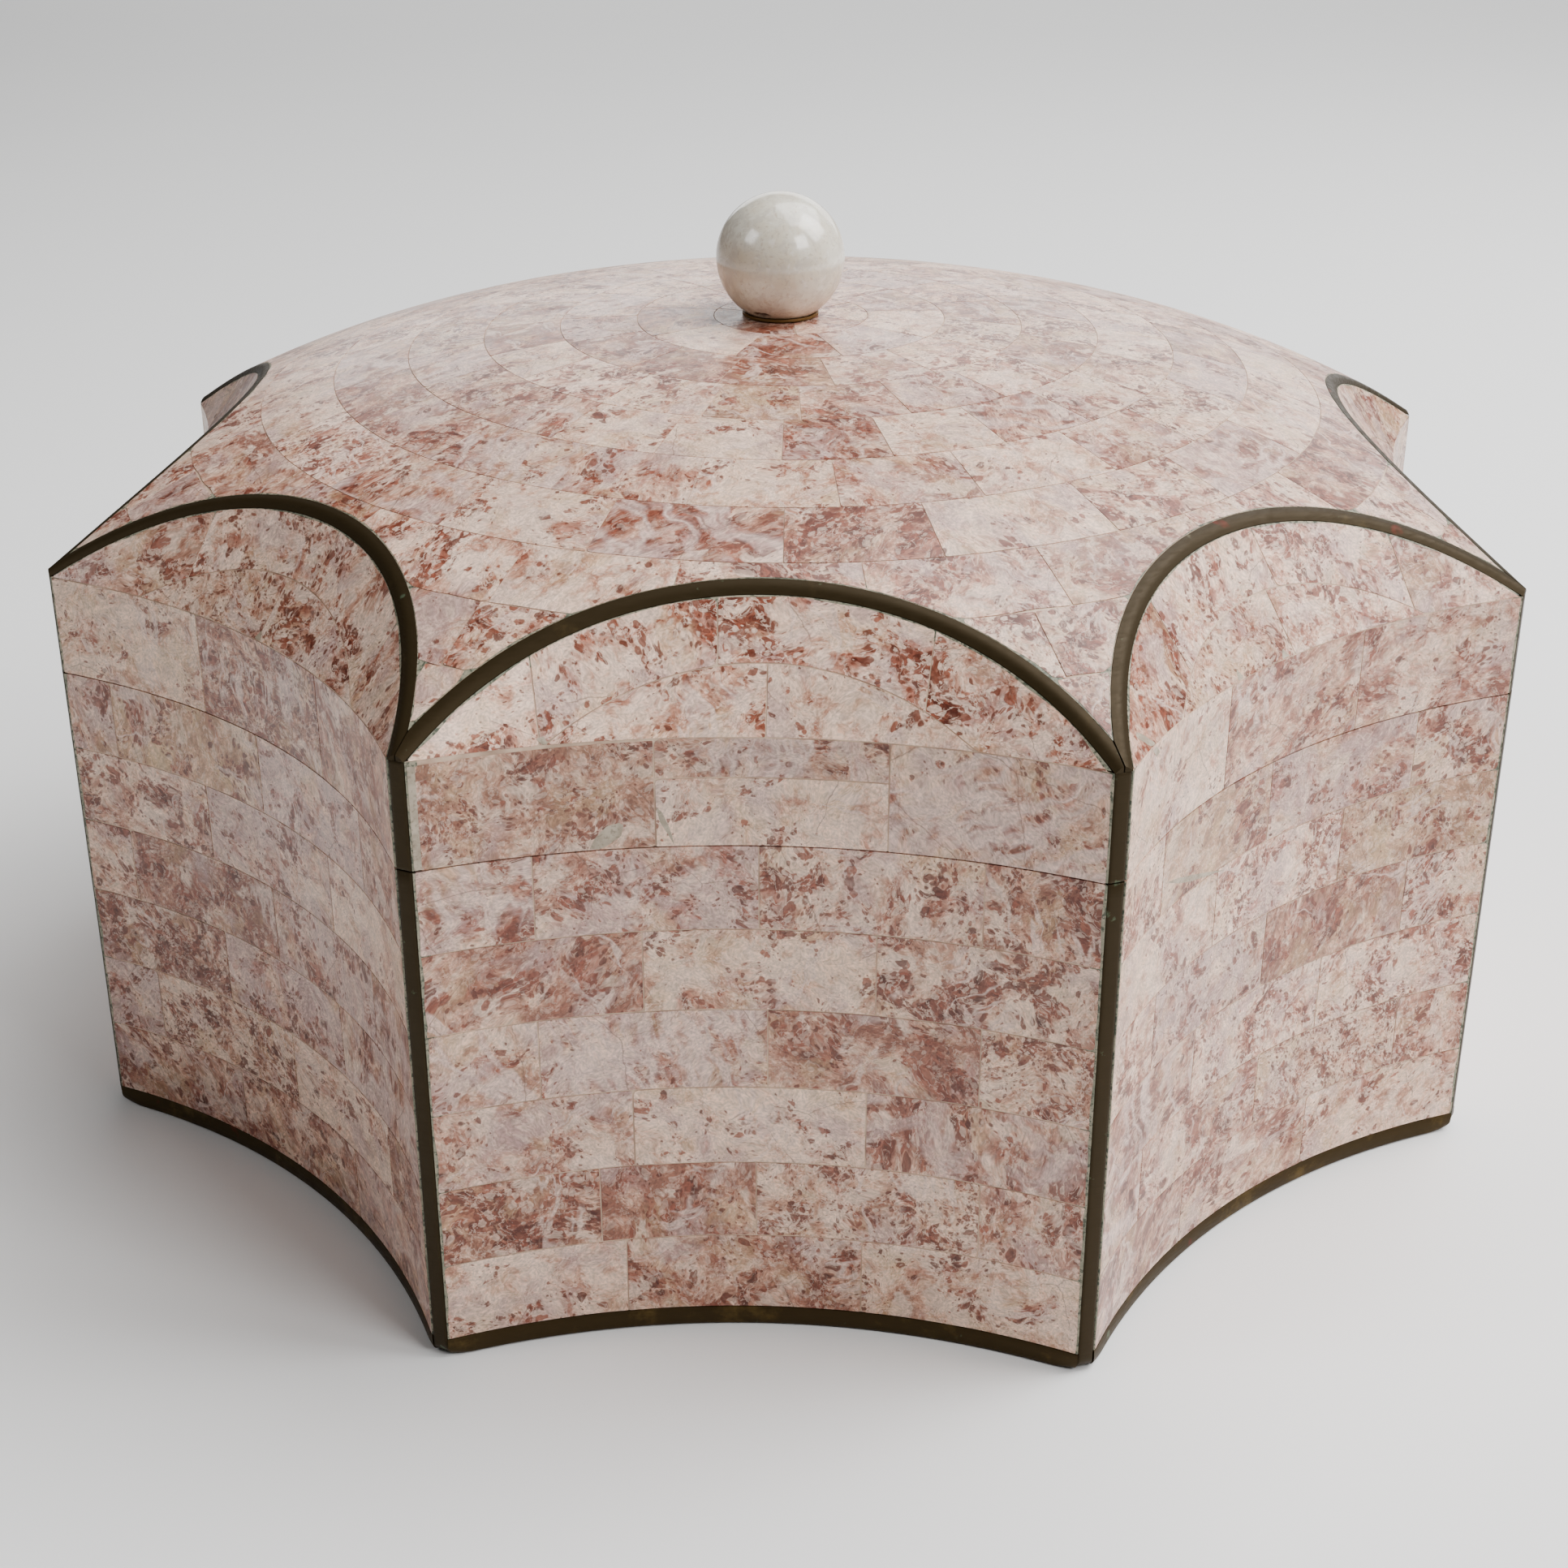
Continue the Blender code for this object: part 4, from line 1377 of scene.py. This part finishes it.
def rust_grains(paint, colour, wide, fine, small, looks):
    """Haze and grains of rust in three sizes over a colour, more of them in clusters."""
    cluster = paint.noise(paint.moved(wide, 9.1, 2.7, 4.3), 88.0, 4.0, 0.62)
    crowd = paint.plus(paint.centred(cluster, 2.8), paint.centred(looks["rust"], 0.60))
    haze = paint.noise(paint.moved(fine, 2.6, 5.8, 3.9), 150.0, 4.0, 0.68)
    haze = paint.spread(paint.plus(paint.centred(haze, 3.0), crowd), 0.0, 0.8)
    colour = paint.coat(colour, haze, RUST_HAZE, 0.70)
    sparse = paint.plus(paint.times(crowd, 0.6), paint.centred(looks["flecks"], 0.40))
    for (scale, reach, differ, most, dark, light), dense in zip(GRAINS, (crowd, crowd, sparse)):
        grain, luck = grains(paint, fine, scale, paint.plus(dense, reach), differ)
        tone = paint.mix(luck, linear(*dark), linear(*light))
        colour = paint.mix(paint.times(grain, most), colour, tone)
    core = paint.times(paint.spread(crowd, 0.25, 0.6), paint.spread(small, 0.52, 0.60))
    return paint.coat(colour, core, RUST_CORE, 0.8)


def white_veins(paint, colour, wide, looks):
    """Slanting white veins over a colour, wide ones only in streaked tiles."""
    ripple = paint.ripple(paint.noise(paint.vector("MULTIPLY", wide, (1.0, 0.22, 1.0)), 120.0))
    ribbon = paint.times(paint.spread(ripple, 0.085, 0.015), paint.spread(looks["veins"], 0.50, 0.80))
    colour = paint.coat(colour, ribbon, WIDE_VEIN, 0.62)
    gate = favoured(paint, paint.moved(wide, 7.2, 4.9, 0.4), (50.0, 2.0), looks["veins"], 0.22)
    vein = paint.times(paint.spread(ripple, 0.035, 0.004), paint.spread(gate, 0.56, 0.70))
    return paint.coat(colour, vein, THIN_VEIN, 0.75)


def white_lace(paint, colour, wide, fine, looks):
    """White lace over and round the grains."""
    torn = paint.noise(wide, 230.0, 4.0, 0.65)
    ridge = paint.spread(paint.ripple(paint.noise(fine, 420.0, 4.0, 0.6)), 0.050, 0.0)
    ridge = paint.times(ridge, paint.spread(torn, 0.38, 0.56))
    flake, _ = grains(paint, paint.moved(fine, 4.4, 1.9, 7.3), 640.0, paint.plus(torn, -0.24), 0.60)
    webbing = paint.math("MAXIMUM", ridge, paint.times(flake, 0.85))
    return paint.coat(colour, paint.times(webbing, paint.times(looks["lace"], 0.90)), LACE_WHITE)


def hairline_cracks(paint, colour, grain, looks):
    """Long thin cracks over a colour, here and there."""
    broken = warped(paint, grain, 170.0, 0.0022)
    line = paint.spread(paint.cells(broken, 42.0, "DISTANCE_TO_EDGE"), 0.0065, 0.002)
    gate = favoured(paint, paint.moved(grain, 8.8, 3.3, 6.1), (60.0, 2.0), looks["veins"], 0.30)
    return paint.coat(colour, paint.times(line, paint.spread(gate, 0.58, 0.66)), CRACK_BROWN, 0.55)


def fine_grain(paint, colour, fine, looks):
    """Fine grain over a colour, and each tile a little lighter or darker."""
    dust = paint.spread(paint.noise(fine, 1900.0, 3.0), 0.25, 0.75, 0.76, 1.22)
    coarse = paint.parts(paint.cells(fine, 430.0, part="Color"))[0]
    crisp = paint.parts(paint.cells(fine, 980.0, part="Color"))[0]
    flaky = paint.plus(paint.centred(coarse, 0.16), paint.centred(crisp, 0.24))
    dust = paint.times(dust, paint.plus(flaky, 1.0))
    toned = paint.times(dust, paint.plus(paint.times(looks["shade"], 0.34), 0.63))
    scale = paint.node("ShaderNodeCombineColor", {0: toned, 1: toned, 2: toned})[0]
    return paint.mix(1.0, colour, scale, "MULTIPLY")


def tile_paint():
    """Polished pink breccia: cream and rose ground, rust grains in white lace, lilac patches, cracks."""
    paint = Paint("pink_stone_tiles", flat=True)
    grain = paint.attribute("grain")["Vector"]
    looks = {}
    for attribute, names in (("tint", LOOKS[:4]), ("marks", LOOKS[4:])):
        source = paint.attribute(attribute)
        looks.update(zip(names, (*paint.parts(source["Color"]), source["Alpha"])))
    wide = warped(paint, grain, 85.0, 0.0055, 2.0)
    fine = warped(paint, wide, 520.0, 0.0010)
    small = paint.noise(fine, 240.0, 4.0, 0.72)
    colour = stone_ground(paint, wide, small, looks)
    colour = rust_grains(paint, colour, wide, fine, small, looks)
    colour = white_veins(paint, colour, wide, looks)
    colour = white_lace(paint, colour, wide, fine, looks)
    colour = hairline_cracks(paint, colour, grain, looks)
    colour = fine_grain(paint, colour, fine, looks)
    roughness = paint.spread(small, 0.3, 0.8, 0.28, 0.42)
    return paint.finish(colour, roughness, paint.noise(grain, 620.0, 2.0), 0.12, 0.00006, 0.4)


# Grout, verdigris and filler: two tones in blotches and one in specks
GROUT_TONES = ((184, 152, 130), (220, 194, 168), (140, 112, 92))
VERDIGRIS_TONES = ((164, 154, 132), (122, 124, 104), (70, 76, 60))
FILLER_TONES = ((154, 140, 120), (184, 170, 150), (112, 98, 80))


def filler_paint(name, tones, blotch, fine, specks, limits, roughness, strength):
    """Grout or filler. The blotches have a scale, the bumps and specks scale, detail and roughness.

    The limits say from where to where the specks' noise becomes a speck, and how strong that is.
    """
    paint = Paint(name)
    where = paint.places()
    low, high, most = limits
    blotches = paint.spread(paint.noise(where, blotch, 4.0, 0.6), 0.35, 0.65)
    colour = paint.mix(blotches, linear(*tones[0]), linear(*tones[1]))
    colour = paint.coat(colour, paint.spread(paint.noise(where, *specks), low, high, 0.0, most), tones[2])
    return paint.finish(colour, roughness, paint.noise(where, *fine), strength)


def lining_paint():
    """Plain cast stone of the inside and the underside."""
    paint = Paint("lining")
    where = paint.places()
    fine = paint.noise(where, 900.0, 4.0, 0.6)
    colour = paint.mix(paint.noise(where, 30.0, 5.0, 0.6), linear(166, 134, 118), linear(188, 158, 140))
    colour = paint.coat(colour, paint.spread(fine, 0.58, 0.7), (132, 98, 84))
    return paint.finish(colour, 0.55, fine, 0.25)


COPPER = (84, 40, 28)
GREEN_SPECK = (96, 112, 88)


def brass_paint(name, dark, light, amount):
    """Dark, patinated brass: light patches where it is rubbed, copper and verdigris specks."""
    paint = Paint(name)
    where = paint.places()
    cloud = paint.noise(where, 70.0, 5.0, 0.65)
    brushed = paint.noise(paint.vector("MULTIPLY", where, (1.0, 1.0, 6.0)), 400.0, 4.0, 0.6)
    colour = paint.coat(linear(*dark), paint.spread(cloud, 0.60 - amount, 0.80 - amount), light)
    colour = paint.coat(colour, paint.spread(brushed, 0.45, 0.75, 0.0, 0.5), dark)
    colour = paint.coat(colour, paint.spread(paint.noise(where, 130.0, 2.0), 0.70, 0.78), COPPER)
    colour = paint.coat(colour, paint.spread(paint.noise(where, 260.0, 3.0), 0.68, 0.76), GREEN_SPECK, 0.6)
    paint.shader.inputs["Metallic"].default_value = 0.35
    roughness = paint.spread(brushed, 0.3, 0.7, 0.40, 0.55)
    return paint.finish(colour, roughness, brushed, 0.15, specular=0.1)


def ball_paint():
    """Off-white polished stone, warmer in clouds, with fine speckles."""
    paint = Paint("pale_stone_ball")
    soft = warped(paint, paint.places(), 120.0, 0.006)
    cloud = paint.spread(paint.noise(soft, 110.0, 5.0, 0.6), 0.35, 0.7)
    colour = paint.coat(linear(234, 230, 215), cloud, (224, 213, 191))
    fine = paint.noise(soft, 900.0, 4.0, 0.65)
    colour = paint.coat(colour, paint.spread(fine, 0.52, 0.68, 0.0, 0.6), (192, 178, 158))
    light = paint.noise(paint.moved(soft, 2.2, 4.1, 0.7), 500.0, 4.0, 0.6)
    colour = paint.coat(colour, paint.spread(light, 0.55, 0.7, 0.0, 0.6), (244, 240, 232))
    mottle = paint.noise(soft, 260.0, 5.0, 0.7)
    colour = paint.coat(colour, paint.spread(mottle, 0.46, 0.60, 0.0, 0.6), (208, 200, 186))
    speck, _ = grains(paint, soft, 560.0, 0.0, 0.50)
    colour = paint.coat(colour, speck, (196, 168, 140), 0.5)
    colour = paint.coat(colour, paint.attribute("pit")["Fac"], (92, 72, 48))
    return paint.finish(colour, 0.14, fine, 0.08, 0.00008, 1.0)


def floor_paint():
    """Plain pale floor with a faint mottle."""
    paint = Paint("floor")
    mottle = paint.noise(paint.places(), 6.0, 3.0)
    return paint.finish(paint.mix(mottle, (0.95, 0.95, 0.95, 1.0), (0.98, 0.98, 0.97, 1.0)), 0.8)


FLOOR_RADIUS = 6.0
FLOOR_STEPS = 96
FLOOR_DROP = 0.0001


def make_floor():
    """Large round floor under the box, a hair lower than its foot."""
    shape = bmesh.new()
    bmesh.ops.create_circle(shape, cap_ends=True, segments=FLOOR_STEPS, radius=FLOOR_RADIUS)
    floor = bpy.data.objects.new("floor", mesh_of(shape, "floor", floor_paint()))
    floor.location.z = -FLOOR_DROP
    bpy.context.scene.collection.objects.link(floor)


def aimed(name, data, place, aim):
    """Light or camera at a place, looking at a point."""
    made = bpy.data.objects.new(name, data)
    made.location = place
    made.rotation_euler = (Vector(aim) - Vector(place)).to_track_quat("-Z", "Y").to_euler()
    bpy.context.scene.collection.objects.link(made)
    return made


# Soft lights: place, the height on the axis that they look at, width and height, and power
WORLD_STRENGTH = 0.03
LIGHTS = {
    "key_light": ((0.893, -0.805, 1.010), 0.15, (0.56, 0.56), 10.4),
    "left_light": ((-1.014, -0.473, 1.042), 0.15, (0.46, 0.46), 3.4),
    "side_light": ((1.127, 0.099, 1.281), 0.15, (1.0, 1.0), 23.0),
    "high_light": ((0.736, 0.425, 1.622), 0.15, (1.6, 1.6), 40.0),
    "back_light": ((0.3, 3.1, 0.95), 0.1, (3.6, 1.4), 42.0),
}


def make_lights():
    """Soft lights as the ball mirrors them, one behind, and dim surroundings."""
    world = bpy.data.worlds.new("studio")
    bpy.context.scene.world = world
    world.use_nodes = True
    backdrop = world.node_tree.nodes["Background"]
    backdrop.inputs["Color"].default_value = (1.0, 1.0, 1.0, 1.0)
    backdrop.inputs["Strength"].default_value = WORLD_STRENGTH
    for name, (place, height, size, power) in LIGHTS.items():
        light = bpy.data.lights.new(name, "AREA")
        light.shape = "RECTANGLE"
        light.size = size[0]
        light.size_y = size[1]
        light.energy = power
        aimed(name, light, place, (0, 0, height))


# Camera, as fitted to the photograph
CAMERA_PLACE = (0.0216, -0.5769, 0.3327)
CAMERA_AIM = (0.0, 0.0, 0.05824)
CAMERA_SENSOR = 36.0
CAMERA_LENS = 55.26
CAMERA_SHIFT = (-0.0043, -0.0005)


def make_camera():
    """Camera of the photograph's view."""
    data = bpy.data.cameras.new("camera")
    data.sensor_width = CAMERA_SENSOR
    data.lens = CAMERA_LENS
    data.shift_x = CAMERA_SHIFT[0]
    data.shift_y = CAMERA_SHIFT[1]
    data.clip_start = 0.01
    bpy.context.scene.camera = aimed("camera", data, CAMERA_PLACE, CAMERA_AIM)


make_camera()
make_lights()
make_floor()

# In the order of the material slots
stones = [
    tile_paint(),
    filler_paint("grout", GROUT_TONES, 110.0, (1300.0, 4.0, 0.6), (70.0, 3.0, 0.55), (0.52, 0.66, 0.6),
                 0.6, 0.3),
    lining_paint(),
    filler_paint("verdigris", VERDIGRIS_TONES, 150.0, (1100.0, 4.0, 0.6), (1100.0, 4.0, 0.6),
                 (0.46, 0.62, 1.0), 0.6, 0.3),
    filler_paint("filler", FILLER_TONES, 240.0, (1300.0, 3.0, 0.6), (1300.0, 3.0, 0.6), (0.52, 0.68, 0.6),
                 0.5, 0.25),
]
dark_brass = brass_paint("dark_brass_strips", (50, 40, 23), (72, 59, 35), 0.0)
band_brass = brass_paint("dark_brass_bands", (58, 46, 26), (92, 74, 40), 0.08)
# The seat ring's brass is lighter than the strips': partly its own golden tone, partly painted highlight for
# the glints on it.
ring_brass = brass_paint("brass_ring", (112, 84, 48), (178, 144, 88), 0.15)

make_base(stones)
make_lid(stones)
make_each_face(arch_section(), "arch_brass", dark_brass, "arch_strip")
make_each_face(band_section(), "band_brass", band_brass, "base_band")
make_corners(dark_brass)
make_ball(ball_paint())
make_seat(ring_brass)
